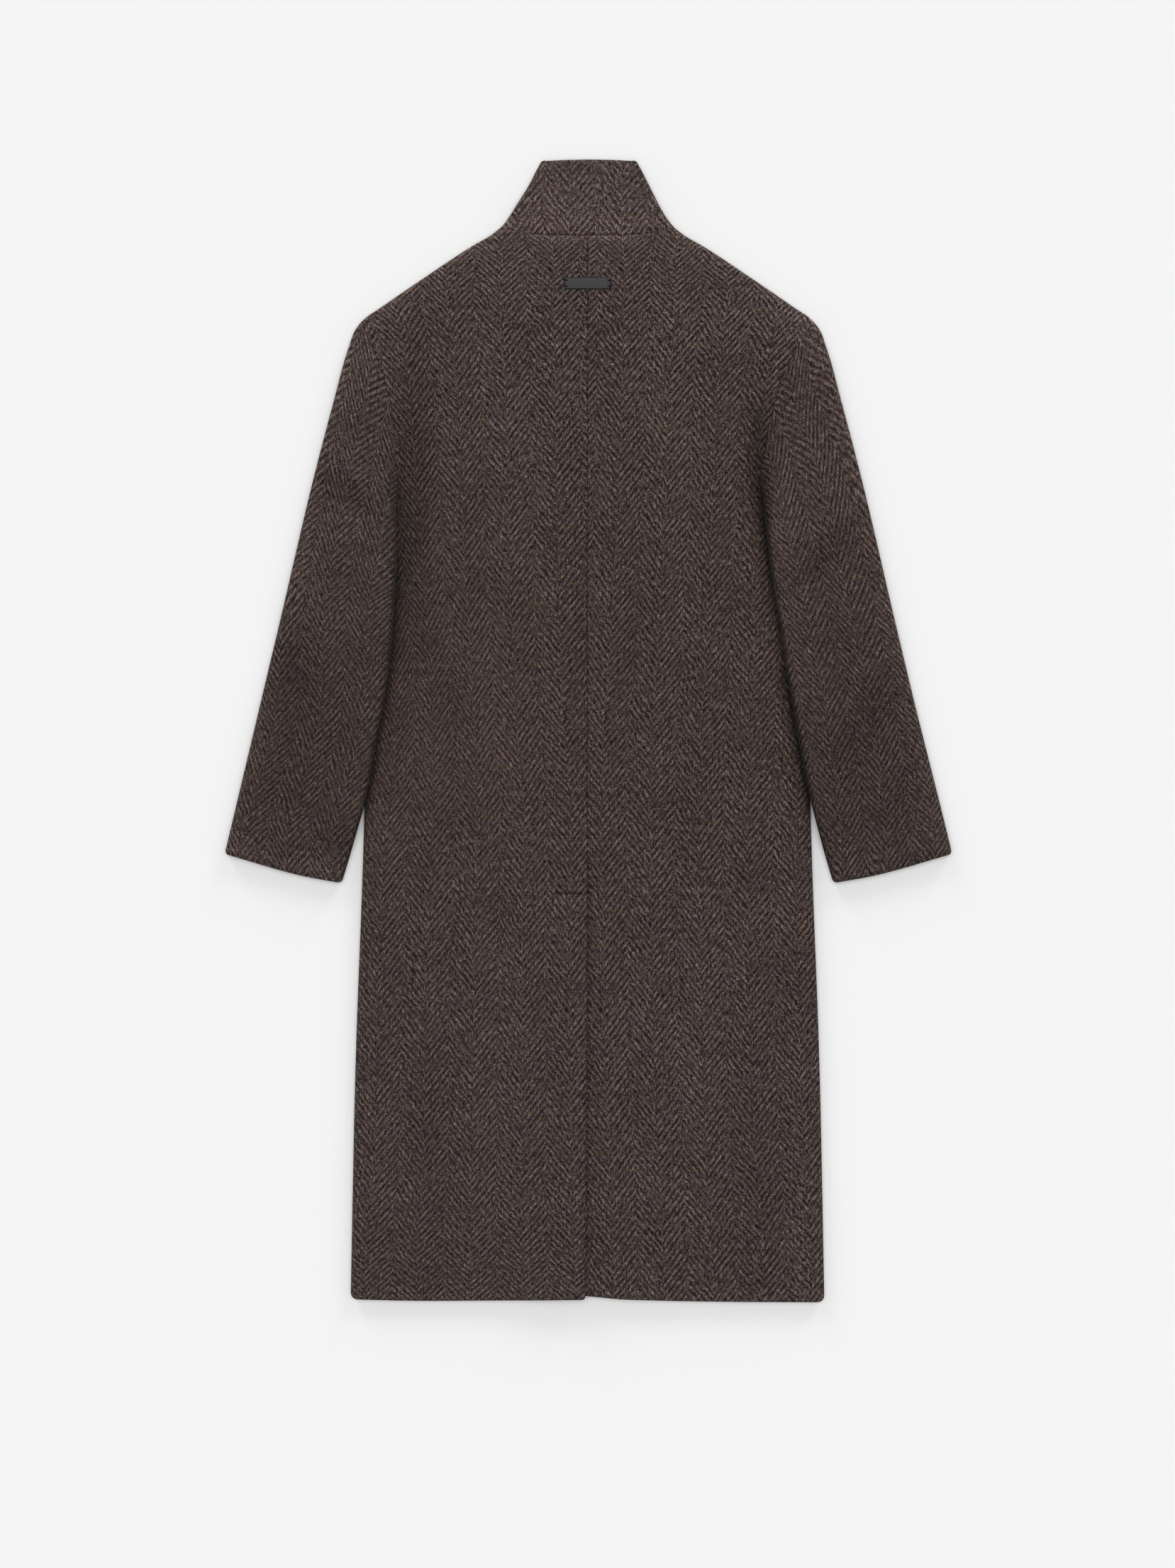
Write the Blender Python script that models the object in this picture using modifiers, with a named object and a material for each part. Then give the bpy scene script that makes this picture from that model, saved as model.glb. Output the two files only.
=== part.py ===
"""Stand collar overcoat of heavy herringbone wool, laid out flat on its front with its back up.

Metres, +Z up. The floor is z = 0, the centre back line is x = 0, the collar points to +Y and the
wearer's left is at -X. Each cloth piece is one open sheet given its thickness by Solidify.
"""

import math
from collections import namedtuple

import bmesh
import bpy
import numpy as np

# Cloth
WALL = 0.0026
SEAM_GAP = 0.0003
FOLD_RADIUS = 0.0042
EDGE_LOFT = 2 * FOLD_RADIUS + SEAM_GAP
FOLD_LIP = 0.0008
ROLL_ANGLES = (30.0, 60.0, 90.0)

# Lengths along the centre back
COLLAR_TOP_Y = 0.6263
NECK_SEAM_Y = 0.5430
FRONT_NECK_Y = 0.4780
FRONT_COLLAR_Y = 0.5600
UNDERARM_Y = 0.2000
VENT_TOP_Y = -0.1817
HEM_Y = {-1: -0.6245, 1: -0.6263}
FRONT_HEM_RISE = 0.012

# Widths
FRONT_OVERLAP = 0.030
STEP_START = 0.045
STEP_RUN = 0.060
VENT_UNDERLAP = 0.033
NECK_HALF = 0.097

# Heights of the back over its folded edges
CROWN_RISE = 0.0024
CROWN_REACH = 0.130
NECK_RISE = 0.0015
NECK_REACH = (0.100, 0.075)
COLLAR_DROP = 0.0020
VENT_LEFT_RISE = 0.0024
VENT_RIGHT_DROP = 0.0009
VENT_RUN = 0.060
HEM_DROP = 0.0012
HEM_RUN = 0.030

# How the sleeves lie over the body's sides
SLEEVE_CLEAR = 0.0004
SLEEVE_RISE = EDGE_LOFT + SLEEVE_CLEAR
SLEEVE_RISE_RUN = 0.075
SLEEVE_SLOPE = 0.048
UNDER_SLOPE = 0.032
UNDER_SHOULDER = 0.006
SLEEVE_DOWN_Y = (-0.155, -0.090)
UNDER_TURN = 0.020
CREASE_FLUSH = 0.035
CREASE_START_INSET = 0.0004
DIVE_LENGTH = 0.040
UNDER_LEAVES_SIDE_Y = 0.178
UNDER_MEETS_FOLD_Y = 0.110
FOLD_MEET_RUN = 0.022

# Back tab
TAB_SIZE = (0.0505, 0.0122)
TAB_CENTRE_Y = 0.4890
TAB_THICKNESS = 0.0012
TAB_BEVEL = 0.0003

# Grid counts
VENT_ROWS = 12
BODY_ROWS = 11
UNDERARM_ROWS = 3
DIVE_ROWS = 2
ARMHOLE_ROWS = 8
NECK_COLUMNS = 5
SHOULDER_COLUMNS = 6
FRONT_SHOULDER_COLUMNS = 4
FRONT_SIDE_ROWS = 14
FRONT_PIT_ROWS = 4
FRONT_ARM_ROWS = 8
LOWER_SLEEVE_ROWS = 12
UPPER_SLEEVE_ROWS = 8
UNDER_TURN_ROWS = 5
COLLAR_ROWS = 6
UNDERLAP_STEPS = 2

# Half outline in plan, from the collar's top corner over the shoulder to the cuff
Place = namedtuple("Place", "name x y")
OUTLINE = (
    Place("collar top", 0.0525, 0.6225),
    Place("collar middle", 0.0716, 0.5866),
    Place("neck", 0.0970, 0.5500),
    Place("shoulder middle", 0.1653, 0.5049),
    Place("shoulder end", 0.2400, 0.4535),
    Place("sleeve head", 0.2600, 0.4250),
    Place("upper sleeve", 0.2941, 0.3026),
    Place("elbow", 0.3380, 0.1159),
    Place("cuff", 0.3990, -0.1390),
)
ARMHOLE_TOP = Place("armhole top", 0.2490, 0.4466)

# Half outline of the body's side, from the underarm to the hem
SIDE = (
    Place("underarm", 0.2405, UNDERARM_Y),
    Place("under the sleeve", 0.2445, -0.1020),
    Place("thigh", 0.2540, -0.3664),
    Place("hem", 0.2597, HEM_Y[1]),
)

# Armhole seam and the fold of the sleeve below it, half widths on each side
Seam = namedtuple("Seam", "y left right")
ARMHOLE = (
    Seam(0.4080, 0.2315, 0.2235),
    Seam(0.3500, 0.2150, 0.2034),
)
CREASE = (
    Seam(0.2770, 0.2085, 0.1890),
    Seam(0.2248, 0.2105, 0.1950),
    Seam(0.1782, 0.2115, 0.2015),
    Seam(0.1315, 0.2143, 0.2112),
    Seam(0.0520, 0.2221, 0.2240),
    Seam(-0.0790, 0.2431, 0.2455),
    Seam(-0.1688, 0.2700, 0.2700),
)
FRONT_ARMHOLE = (
    Place("front chest", 0.2220, 0.4000),
    Place("front middle", 0.2060, 0.3300),
)
FRONT_SCOOP = Place("front scoop", 0.2030, 0.2700)
FRONT_PIT = Place("front underarm", 0.2130, 0.2250)

# Largest folds of the upper side: soft troughs below zero and ridges above
Fold = namedtuple("Fold", "name x y turn half_length half_width rise")
FOLDS = (
    Fold("hollow by the left armhole", -0.186, 0.265, 92.0, 0.150, 0.022, -0.0018),
    Fold("hollow by the right armhole", 0.176, 0.290, 84.0, 0.080, 0.018, -0.0015),
    Fold("left sleeve head", -0.236, 0.398, 75.0, 0.035, 0.016, 0.0012),
    Fold("right sleeve head", 0.236, 0.420, 110.0, 0.030, 0.016, 0.0010),
    Fold("left upper arm pull", -0.256, 0.248, 140.0, 0.040, 0.012, -0.0017),
    Fold("right upper arm pull", 0.264, 0.184, 48.0, 0.045, 0.012, -0.0016),
    Fold("left elbow", -0.318, 0.056, 118.0, 0.055, 0.020, -0.0014),
    Fold("right elbow", 0.304, 0.010, 60.0, 0.055, 0.018, -0.0014),
    Fold("left blade", -0.105, 0.330, 95.0, 0.150, 0.045, 0.0005),
    Fold("right blade", 0.100, 0.300, 86.0, 0.170, 0.045, 0.0005),
)


def ease(share):
    """A smooth step from 0 to 1."""
    share = min(max(share, 0.0), 1.0)
    return share * share * (3.0 - 2.0 * share)


def mix(first, second, share):
    return first + (second - first) * share


class Line:
    """A line in plan, read by its share of length from 0 to 1."""

    def __init__(self, points):
        self.points = np.array(points, float)
        steps = np.linalg.norm(np.diff(self.points, axis=0), axis=1)
        self.length = steps.sum()
        self.shares = np.concatenate([[0.0], np.cumsum(steps)]) / self.length

    @classmethod
    def through(cls, *knots, per_span=24):
        """A smooth curve through the knots: a cubic on each span."""
        knots = np.array(knots, float)
        chords = np.linalg.norm(np.diff(knots, axis=0), axis=1)
        places = np.concatenate([[0.0], np.cumsum(chords)])
        slopes = np.gradient(knots, places, axis=0)
        points = [knots[0]]
        for i, chord in enumerate(chords):
            for k in range(1, per_span + 1):
                t = k / per_span
                bend = t * t * (3.0 - 2.0 * t)
                lead = t * (1.0 - t) ** 2 * chord
                trail = t * t * (t - 1.0) * chord
                point = mix(knots[i], knots[i + 1], bend) + lead * slopes[i] + trail * slopes[i + 1]
                points.append(point)
        return cls(points)

    def at(self, share):
        return np.array([np.interp(share, self.shares, self.points[:, axis]) for axis in (0, 1)])

    def outward(self, share):
        """Unit vector square to the line, on its left going along."""
        ahead = self.at(min(share + 0.004, 1.0)) - self.at(max(share - 0.004, 0.0))
        return np.array([-ahead[1], ahead[0]]) / np.hypot(*ahead)

    def share_at_y(self, y):
        """Share of a line that runs down in y."""
        return float(np.interp(-y, -self.points[:, 1], self.shares))

    def part(self, start, end, count=60):
        return Line([self.at(mix(start, end, i / count)) for i in range(count + 1)])

    def inset(self, depth):
        """The line moved inwards by a depth, which may change along it."""
        points = []
        for point, share in zip(self.points, self.shares):
            move = depth(point[1]) if callable(depth) else depth
            points.append(point - self.outward(share) * move)
        return Line(points)

    def moved(self, x=0.0, y=0.0):
        return Line(self.points + np.array([x, y]))

    def back(self):
        return Line(self.points[::-1])


class Chain:
    """Lines end to end, each over its own count of grid steps, so that every corner falls on a step."""

    def __init__(self, *parts):
        self.lines = [line for line, count in parts]
        self.ends = np.concatenate([[0], np.cumsum([count for line, count in parts])])

    def at(self, share):
        step = share * self.ends[-1]
        i = min(int(np.searchsorted(self.ends, step + 1e-9, side="right")) - 1, len(self.lines) - 1)
        return self.lines[i].at((step - self.ends[i]) / (self.ends[i + 1] - self.ends[i]))


def straight(start, end):
    return Line([start, end])


def patch(bottom, top, inner, outer):
    """The plan point between four lines that meet at their ends, at a share across and a share along."""
    def at(across, along):
        ends = mix(
            mix(bottom.at(0.0), bottom.at(1.0), across),
            mix(top.at(0.0), top.at(1.0), across),
            along,
        )
        ruled = mix(bottom.at(across), top.at(across), along)
        return ruled + mix(inner.at(along), outer.at(along), across) - ends
    return at


# Plan lines shared by the pieces, on the side where x is positive
outline = Line.through(*[(place.x, place.y) for place in OUTLINE])
side_line = Line.through(*[(place.x, place.y) for place in SIDE])
neck_share = outline.share_at_y(OUTLINE[2].y)
armhole_share = outline.share_at_y(ARMHOLE_TOP.y)
corner_slack = 0.0008 / outline.length


def reading(row, side):
    """A seam row's half width on one side of the coat."""
    return (row.left if side < 0 else row.right, row.y)


def crease_line(side):
    return Line.through(*[reading(row, side) for row in CREASE])


def side_x(y):
    """Half width of the body at a height up the coat."""
    return side_line.at(side_line.share_at_y(y))[0]


# Heights of the cloth's outer side
def fold_rise(x, y):
    """Sum of the folds at a place."""
    total = 0.0
    for fold in FOLDS:
        turn = math.radians(fold.turn)
        along = ((x - fold.x) * math.cos(turn) + (y - fold.y) * math.sin(turn)) / fold.half_length
        across = ((y - fold.y) * math.cos(turn) - (x - fold.x) * math.sin(turn)) / fold.half_width
        total += fold.rise * math.exp(-along * along - across * across)
    return total


def upper(x, y):
    """Upper side of the back, the collar and the sleeves' heads."""
    crown = CROWN_RISE * max(1.0 - (x / CROWN_REACH) ** 2, 0.0) ** 2
    neck = math.exp(-((x / NECK_REACH[0]) ** 2) - ((y - NECK_SEAM_Y) / NECK_REACH[1]) ** 2)
    drop = COLLAR_DROP * ease((y - NECK_SEAM_Y) / (COLLAR_TOP_Y - NECK_SEAM_Y))
    return EDGE_LOFT + crown + NECK_RISE * neck - drop + fold_rise(x, y)


def hem_drop(y, side):
    return HEM_DROP * ease((HEM_Y[side] + HEM_RUN - y) / HEM_RUN)


def back_height(x, y, side):
    """Upper side of a back panel: the left one climbs over the vent underlap, the right one dips."""
    vent = ease((VENT_TOP_Y + VENT_RUN - y) / VENT_RUN)
    if side < 0:
        step = VENT_LEFT_RISE * ease((x + VENT_UNDERLAP + VENT_RUN) / VENT_RUN)
    else:
        step = -VENT_RIGHT_DROP * ease((VENT_RUN - x) / VENT_RUN)
    return upper(x, y) + vent * step - hem_drop(y, side)


def floor_height(x, side):
    """Lower side of a front: the right one steps up over the left one's edge."""
    if side < 0:
        return 0.0
    return (WALL + 2 * SEAM_GAP) * ease((STEP_START + STEP_RUN - x) / STEP_RUN)


def over_side(x, y, slope):
    """1 where a place lies over the body's side, falling to 0 on the floor beside it and by the cuff."""
    low, high = SLEEVE_DOWN_Y
    beside = ease((side_x(y) - abs(x) + slope) / (slope - UNDER_SHOULDER))
    return beside * ease((y - low) / (high - low))


def sleeve_height(x, y, side):
    """Upper side of a top sleeve, which climbs over the body's side below the armhole."""
    climb = ease((CREASE[0].y - y) / SLEEVE_RISE_RUN)
    return upper(x, y) + SLEEVE_RISE * climb * over_side(x, y, SLEEVE_SLOPE)


def under_height(x, y, side):
    """Lower side of an under sleeve, on the floor and over the body's side."""
    climb = ease((UNDERARM_Y + UNDER_TURN - y) / (2 * UNDER_TURN))
    return climb * over_side(x, y, UNDER_SLOPE) * (upper(x, y) + SLEEVE_CLEAR)


def crease_depth(y):
    """How far the sleeve's inner fold turns in: nothing at the armhole, a whole fold lower down."""
    return mix(CREASE_START_INSET, FOLD_RADIUS, ease((CREASE[0].y - y) / CREASE_FLUSH))


def crease_level(x, y, side):
    """Level that the inner fold of the top sleeve comes down to."""
    rests = min(upper(x, y) + SLEEVE_CLEAR, sleeve_height(x, y, side))
    meets = under_height(x, y, side) + FOLD_RADIUS + SEAM_GAP / 2
    return mix(rests, meets, ease((UNDER_MEETS_FOLD_Y + 2 * FOLD_MEET_RUN - y) / FOLD_MEET_RUN))


# Making the pieces
def finish(name, colour, roughness):
    """A plain material with the colour and roughness of one finish."""
    material = bpy.data.materials.new(name)
    material.use_nodes = True
    shader = material.node_tree.nodes["Principled BSDF"]
    shader.inputs["Base Color"].default_value = (*colour, 1.0)
    shader.inputs["Roughness"].default_value = roughness
    shader.inputs["Metallic"].default_value = 0.0
    material.diffuse_color = (*colour, 1.0)
    return material


def make_grid(columns, rows, place):
    """A grid whose points are moved to place(share across, share along), kept by column and row."""
    sheet = bmesh.new()
    bmesh.ops.create_grid(sheet, x_segments=columns, y_segments=rows, size=0.5)
    points = {}
    for vert in sheet.verts:
        column = round((vert.co.x + 0.5) * columns)
        row = round((vert.co.y + 0.5) * rows)
        points[column, row] = vert
    for (column, row), vert in points.items():
        vert.co = place(column / columns, row / rows)
    return sheet, points


def extend(sheet, border, places):
    """Extrudes a border once, each new point going to its old one's place, and gives the new border."""
    chosen = set(border)
    edges = [edge for edge in sheet.edges if edge.is_boundary and set(edge.verts) <= chosen]
    made = bmesh.ops.extrude_edge_only(sheet, edges=edges)["geom"]
    fresh = {}
    for vert in made:
        if isinstance(vert, bmesh.types.BMVert):
            for edge in vert.link_edges:
                if edge.other_vert(vert) in chosen:
                    fresh[edge.other_vert(vert)] = vert
    for old, place in zip(border, places):
        fresh[old].co = place
    return [fresh[old] for old in border]


def roll(sheet, border, targets):
    """Turns a border over in a quarter circle to its (x, y, level), with a short straight lip."""
    starts = [vert.co.copy() for vert in border]
    for angle in ROLL_ANGLES:
        places = []
        for start, (x, y, level) in zip(starts, targets):
            lip = min(FOLD_LIP, abs(level - start.z) / 4) * math.copysign(1.0, level - start.z)
            reach = math.sin(math.radians(angle))
            height = mix(level - lip, start.z, math.cos(math.radians(angle)))
            places.append((mix(start.x, x, reach), mix(start.y, y, reach), height))
        border = extend(sheet, border, places)
    extend(sheet, border, targets)


def finish_piece(name, sheet, material, outer_up, side=1, thickness=WALL, bevel=0.0):
    """Gives a sheet its thickness away from its outer side and links it as a named piece."""
    if side < 0:
        bmesh.ops.reverse_faces(sheet, faces=sheet.faces)
    mesh = bpy.data.meshes.new(name)
    sheet.to_mesh(mesh)
    sheet.free()
    mesh.materials.append(material)
    mesh.shade_smooth()
    piece = bpy.data.objects.new(name, mesh)
    collection.objects.link(piece)
    piece.parent = coat
    solid = piece.modifiers.new("Cloth", "SOLIDIFY")
    solid.thickness = thickness
    solid.offset = -1.0 if outer_up else 1.0
    if bevel:
        soft = piece.modifiers.new("Edge", "BEVEL")
        soft.width = bevel
        soft.segments = 2
        soft.limit_method = "ANGLE"
    return piece


def lift(plan, height, side):
    """Turns a plan patch into places in space, mirrored to the piece's side."""
    def place(across, along):
        x, y = plan(across, along)
        return (side * x, y, height(side * x, y, side))
    return place


def roll_targets(line, shares, level, side):
    """Where a rolled border ends: points of an outline with the level that the fold comes to."""
    targets = []
    for share in shares:
        x, y = line.at(share)
        targets.append((side * x, y, level(side * x, y, side)))
    return targets


def shares_of(count):
    return [i / count for i in range(count + 1)]


def upper_seam(x, y, side):
    return FOLD_RADIUS + SEAM_GAP


def lower_seam(x, y, side):
    return FOLD_RADIUS


def make_back(side, name):
    """A back panel: centre back seam, neck, shoulder, armhole, side and hem."""
    hem_y = HEM_Y[side]
    shoulder = outline.part(neck_share + corner_slack, armhole_share - corner_slack)
    shoulder_in = shoulder.inset(FOLD_RADIUS)
    side_edge = side_line.part(side_line.share_at_y(hem_y), 0.0)
    side_in = side_line.inset(FOLD_RADIUS).part(side_line.share_at_y(hem_y), 0.0)
    crease = crease_line(side)
    dive = crease.share_at_y(CREASE[0].y - DIVE_LENGTH)
    edge = crease.moved(x=-SEAM_GAP)
    dive_line = edge.part(dive, 0.0)
    corner = shoulder_in.at(1.0)
    armhole = Line.through(
        edge.at(0.0),
        *[(reading(row, side)[0] - SEAM_GAP, row.y) for row in reversed(ARMHOLE)],
        corner,
    )
    below = dive_line.at(0.0)
    underarm = side_in.at(1.0)
    pit = Line.through(underarm, mix(underarm, below, 0.5) + np.array([-0.002, -0.004]), below)
    outer = Chain(
        (side_in.part(0.0, 0.52), VENT_ROWS),
        (side_in.part(0.52, 1.0), BODY_ROWS),
        (pit, UNDERARM_ROWS),
        (dive_line, DIVE_ROWS),
        (armhole, ARMHOLE_ROWS),
    )
    centre = SEAM_GAP / 2
    inner = Chain(
        (straight((centre, hem_y), (centre, VENT_TOP_Y)), VENT_ROWS),
        (straight((centre, VENT_TOP_Y), (centre, UNDERARM_Y)), BODY_ROWS),
        (straight((centre, UNDERARM_Y), (centre, NECK_SEAM_Y)), UNDERARM_ROWS + DIVE_ROWS + ARMHOLE_ROWS),
    )
    neck_end = shoulder_in.at(0.0)
    hem_end = side_in.at(0.0)
    bottom = Chain(
        (straight((centre, hem_y), (NECK_HALF, hem_y)), NECK_COLUMNS),
        (straight((NECK_HALF, hem_y), hem_end), SHOULDER_COLUMNS),
    )
    neck = Line.through((centre, NECK_SEAM_Y), mix(np.array([centre, NECK_SEAM_Y]), neck_end, 0.55), neck_end)
    top = Chain((neck, NECK_COLUMNS), (shoulder_in, SHOULDER_COLUMNS))
    columns = NECK_COLUMNS + SHOULDER_COLUMNS
    side_rows = VENT_ROWS + BODY_ROWS
    rows = side_rows + UNDERARM_ROWS + DIVE_ROWS + ARMHOLE_ROWS
    sheet, points = make_grid(columns, rows, lift(patch(bottom, top, inner, outer), back_height, side))
    side_shares = [0.52 * i / VENT_ROWS for i in range(VENT_ROWS)]
    side_shares += [mix(0.52, 1.0, i / BODY_ROWS) for i in range(BODY_ROWS + 1)]
    border = [points[columns, row] for row in range(side_rows + 1)]
    roll(sheet, border, roll_targets(side_edge, side_shares, upper_seam, side))
    border = [points[column, rows] for column in range(NECK_COLUMNS, columns + 1)]
    roll(sheet, border, roll_targets(shoulder, shares_of(SHOULDER_COLUMNS), upper_seam, side))
    if side > 0:
        border = [points[0, row] for row in range(VENT_ROWS + 1)]
        for step in range(1, UNDERLAP_STEPS + 1):
            x = -VENT_UNDERLAP * step / UNDERLAP_STEPS
            border = extend(sheet, border, [(x, vert.co.y, vert.co.z) for vert in border])
    return finish_piece(name, sheet, wool, True, side)


def front_armhole(pit_end, top_end, gap):
    """The front armhole in two lines, from the underarm to the scoop and on to the shoulder."""
    scoop = (FRONT_SCOOP.x + gap, FRONT_SCOOP.y)
    pit = Line.through(pit_end, (FRONT_PIT.x + gap, FRONT_PIT.y + gap), scoop)
    above = [(place.x + gap, place.y) for place in reversed(FRONT_ARMHOLE)]
    return pit, Line.through(scoop, *above, top_end)


def front_neck(neck_end, gap):
    """The front neck seam, from the front edge past the centre up to the side of the neck."""
    low = FRONT_NECK_Y + gap
    return Line.through((-FRONT_OVERLAP, low), (0.020, low + 0.004), (0.066, low + 0.030), neck_end)


def make_front(side, name):
    """A front panel flat on the floor, its side and shoulder turned up to meet the back."""
    hem_y = HEM_Y[side] + FRONT_HEM_RISE
    side_edge = side_line.part(side_line.share_at_y(hem_y), 0.0)
    side_in = side_line.inset(FOLD_RADIUS).part(side_line.share_at_y(hem_y), 0.0)
    shoulder = outline.part(neck_share + corner_slack, armhole_share - corner_slack)
    shoulder_in = shoulder.inset(FOLD_RADIUS)
    pit, armhole = front_armhole(side_in.at(1.0), shoulder_in.at(1.0), 0.0)
    edge_x = -FRONT_OVERLAP
    neck = front_neck(shoulder_in.at(0.0), 0.0)
    outer = Chain((side_in, FRONT_SIDE_ROWS), (pit, FRONT_PIT_ROWS), (armhole, FRONT_ARM_ROWS))
    inner = Chain(
        (straight((edge_x, hem_y), (edge_x, UNDERARM_Y)), FRONT_SIDE_ROWS),
        (straight((edge_x, UNDERARM_Y), neck.at(0.0)), FRONT_PIT_ROWS + FRONT_ARM_ROWS),
    )
    bottom = straight((edge_x, hem_y), side_in.at(0.0))
    top = Chain((neck, NECK_COLUMNS), (shoulder_in, FRONT_SHOULDER_COLUMNS))
    columns = NECK_COLUMNS + FRONT_SHOULDER_COLUMNS
    rows = FRONT_SIDE_ROWS + FRONT_PIT_ROWS + FRONT_ARM_ROWS

    def height(x, y, side):
        return floor_height(x, side)

    sheet, points = make_grid(columns, rows, lift(patch(bottom, top, inner, outer), height, side))
    border = [points[columns, row] for row in range(FRONT_SIDE_ROWS + 1)]
    roll(sheet, border, roll_targets(side_edge, shares_of(FRONT_SIDE_ROWS), lower_seam, side))
    border = [points[column, rows] for column in range(NECK_COLUMNS, columns + 1)]
    roll(sheet, border, roll_targets(shoulder, shares_of(FRONT_SHOULDER_COLUMNS), lower_seam, side))
    return finish_piece(name, sheet, wool, False, side)


def sleeve_outer():
    """The sleeve's outer fold, from the cuff up to the armhole."""
    return outline.part(1.0, armhole_share + corner_slack)


def crease_parts(side):
    """The sleeve's inner fold from the cuff up, parted where the under sleeve leaves it."""
    crease = crease_line(side)
    meet = crease.share_at_y(UNDER_MEETS_FOLD_Y)
    return crease.part(1.0, meet), crease.part(meet, 0.0)


def turned_in(line):
    """The inner fold's line moved in by the depth of the fold."""
    return Line([point + np.array([crease_depth(point[1]), 0.0]) for point in line.points])


def cuff_line(inner, outer):
    bow = mix(inner, outer, 0.5) + np.array([-0.0006, -0.0024])
    return Line.through(inner, bow, outer)


def make_sleeve_top(side, name):
    """A top sleeve: armhole seam, outer fold, cuff and the inner fold that lies over the body."""
    columns = ARMHOLE_ROWS
    rows = LOWER_SLEEVE_ROWS + UPPER_SLEEVE_ROWS
    outer_edge = sleeve_outer()
    outer = outline.inset(FOLD_RADIUS).part(1.0, armhole_share + corner_slack)
    lower_edge, upper_edge = crease_parts(side)
    edge = Chain((lower_edge, LOWER_SLEEVE_ROWS), (upper_edge, UPPER_SLEEVE_ROWS))
    crease = Chain(
        (turned_in(lower_edge), LOWER_SLEEVE_ROWS),
        (turned_in(upper_edge), UPPER_SLEEVE_ROWS),
    )
    seam = Line.through(
        crease.at(1.0),
        *[reading(row, side) for row in reversed(ARMHOLE)],
        outer.at(1.0),
    )
    cuff = cuff_line(crease.at(0.0), outer.at(0.0))
    plan = patch(cuff, seam, crease, outer)
    sheet, points = make_grid(columns, rows, lift(plan, sleeve_height, side))
    border = [points[columns, row] for row in range(rows + 1)]
    roll(sheet, border, roll_targets(outer_edge, shares_of(rows), upper_seam, side))
    border = [points[0, row] for row in range(rows + 1)]
    roll(sheet, border, roll_targets(edge, shares_of(rows), crease_level, side))
    return finish_piece(name, sheet, wool, True, side)


def make_sleeve_under(side, name):
    """An under sleeve: on the floor outside the body, over the body's side lower down."""
    columns = FRONT_ARM_ROWS
    turn_rows = LOWER_SLEEVE_ROWS + UNDER_TURN_ROWS
    rows = turn_rows + FRONT_PIT_ROWS
    outer_edge = sleeve_outer()
    outer = outline.inset(FOLD_RADIUS).part(1.0, armhole_share + corner_slack)
    lower_edge = crease_parts(side)[0]
    meet = lower_edge.at(1.0)
    leave = np.array([side_x(UNDER_LEAVES_SIDE_Y) + 0.0014, UNDER_LEAVES_SIDE_Y])
    pit_end = np.array([side_x(UNDERARM_Y) + 0.0020, UNDERARM_Y + 0.005])
    turn_edge = Line.through(meet, mix(meet, leave, 0.55), leave, pit_end)
    edge = Chain((lower_edge, LOWER_SLEEVE_ROWS), (turn_edge, UNDER_TURN_ROWS))
    turn_in = turn_edge.moved(x=FOLD_RADIUS)
    pit, armhole = front_armhole(turn_in.at(1.0), outer.at(1.0), 3 * SEAM_GAP)
    inner = Chain(
        (lower_edge.moved(x=FOLD_RADIUS), LOWER_SLEEVE_ROWS),
        (turn_in, UNDER_TURN_ROWS),
        (pit, FRONT_PIT_ROWS),
    )
    cuff = cuff_line(inner.at(0.0), outer.at(0.0))
    plan = patch(cuff, armhole, inner, outer)
    sheet, points = make_grid(columns, rows, lift(plan, under_height, side))
    border = [points[columns, row] for row in range(rows + 1)]
    roll(sheet, border, roll_targets(outer_edge, shares_of(rows), lower_seam, side))

    def level(x, y, side):
        return under_height(x, y, side) + FOLD_RADIUS - SEAM_GAP / 2

    border = [points[0, row] for row in range(turn_rows + 1)]
    roll(sheet, border, roll_targets(edge, shares_of(turn_rows), level, side))
    return finish_piece(name, sheet, wool, False, side)


def make_collar():
    """The stand collar: one band, its back on top, folded at both sides, its ends crossed underneath."""
    fold = outline.part(neck_share - corner_slack, 0.0)
    fold_in = fold.inset(-FOLD_RADIUS)
    seam_end = fold_in.at(0.0)
    top_end = fold_in.at(1.0)
    seam_y = NECK_SEAM_Y + SEAM_GAP
    back_seam = Line.through((0.0, seam_y), mix(np.array([0.0, seam_y]), seam_end, 0.55), seam_end)
    back_top = Line.through((0.0, COLLAR_TOP_Y), (0.030, COLLAR_TOP_Y - 0.0008), top_end)
    back = patch(back_seam, back_top, straight((0.0, seam_y), (0.0, COLLAR_TOP_Y)), fold_in)
    edge_x = -FRONT_OVERLAP
    front_seam = front_neck(seam_end, 2 * SEAM_GAP)
    front_top = Line.through((edge_x, FRONT_COLLAR_Y), (0.010, FRONT_COLLAR_Y + 0.004), top_end)
    front_end = straight(front_seam.at(0.0), front_top.at(0.0))
    front = patch(front_seam, front_top, front_end, fold_in)
    half_turn = 2 * len(ROLL_ANGLES)
    half = 2 * NECK_COLUMNS + half_turn

    def half_place(step, along, side):
        """A place on one half, counted from the centre back to the front end."""
        if step <= NECK_COLUMNS:
            x, y = back(step / NECK_COLUMNS, along)
            return (side * x, y, upper(side * x, y))
        if step >= NECK_COLUMNS + half_turn:
            x, y = front((half - step) / NECK_COLUMNS, along)
            return (side * x, y, floor_height(side * x, side))
        border = fold_in.at(along)
        out = fold.at(along)
        angle = math.pi * (step - NECK_COLUMNS) / half_turn
        x, y = mix(border, out, math.sin(angle))
        high = upper(side * border[0], border[1])
        low = floor_height(side * border[0], side)
        return (side * x, y, mix(low, high, (1.0 + math.cos(angle)) / 2))

    def place(across, along):
        step = round(across * 2 * half) - half
        return half_place(abs(step), along, -1 if step < 0 else 1)

    sheet, points = make_grid(2 * half, COLLAR_ROWS, place)
    return finish_piece("collar", sheet, wool, True)


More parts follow.
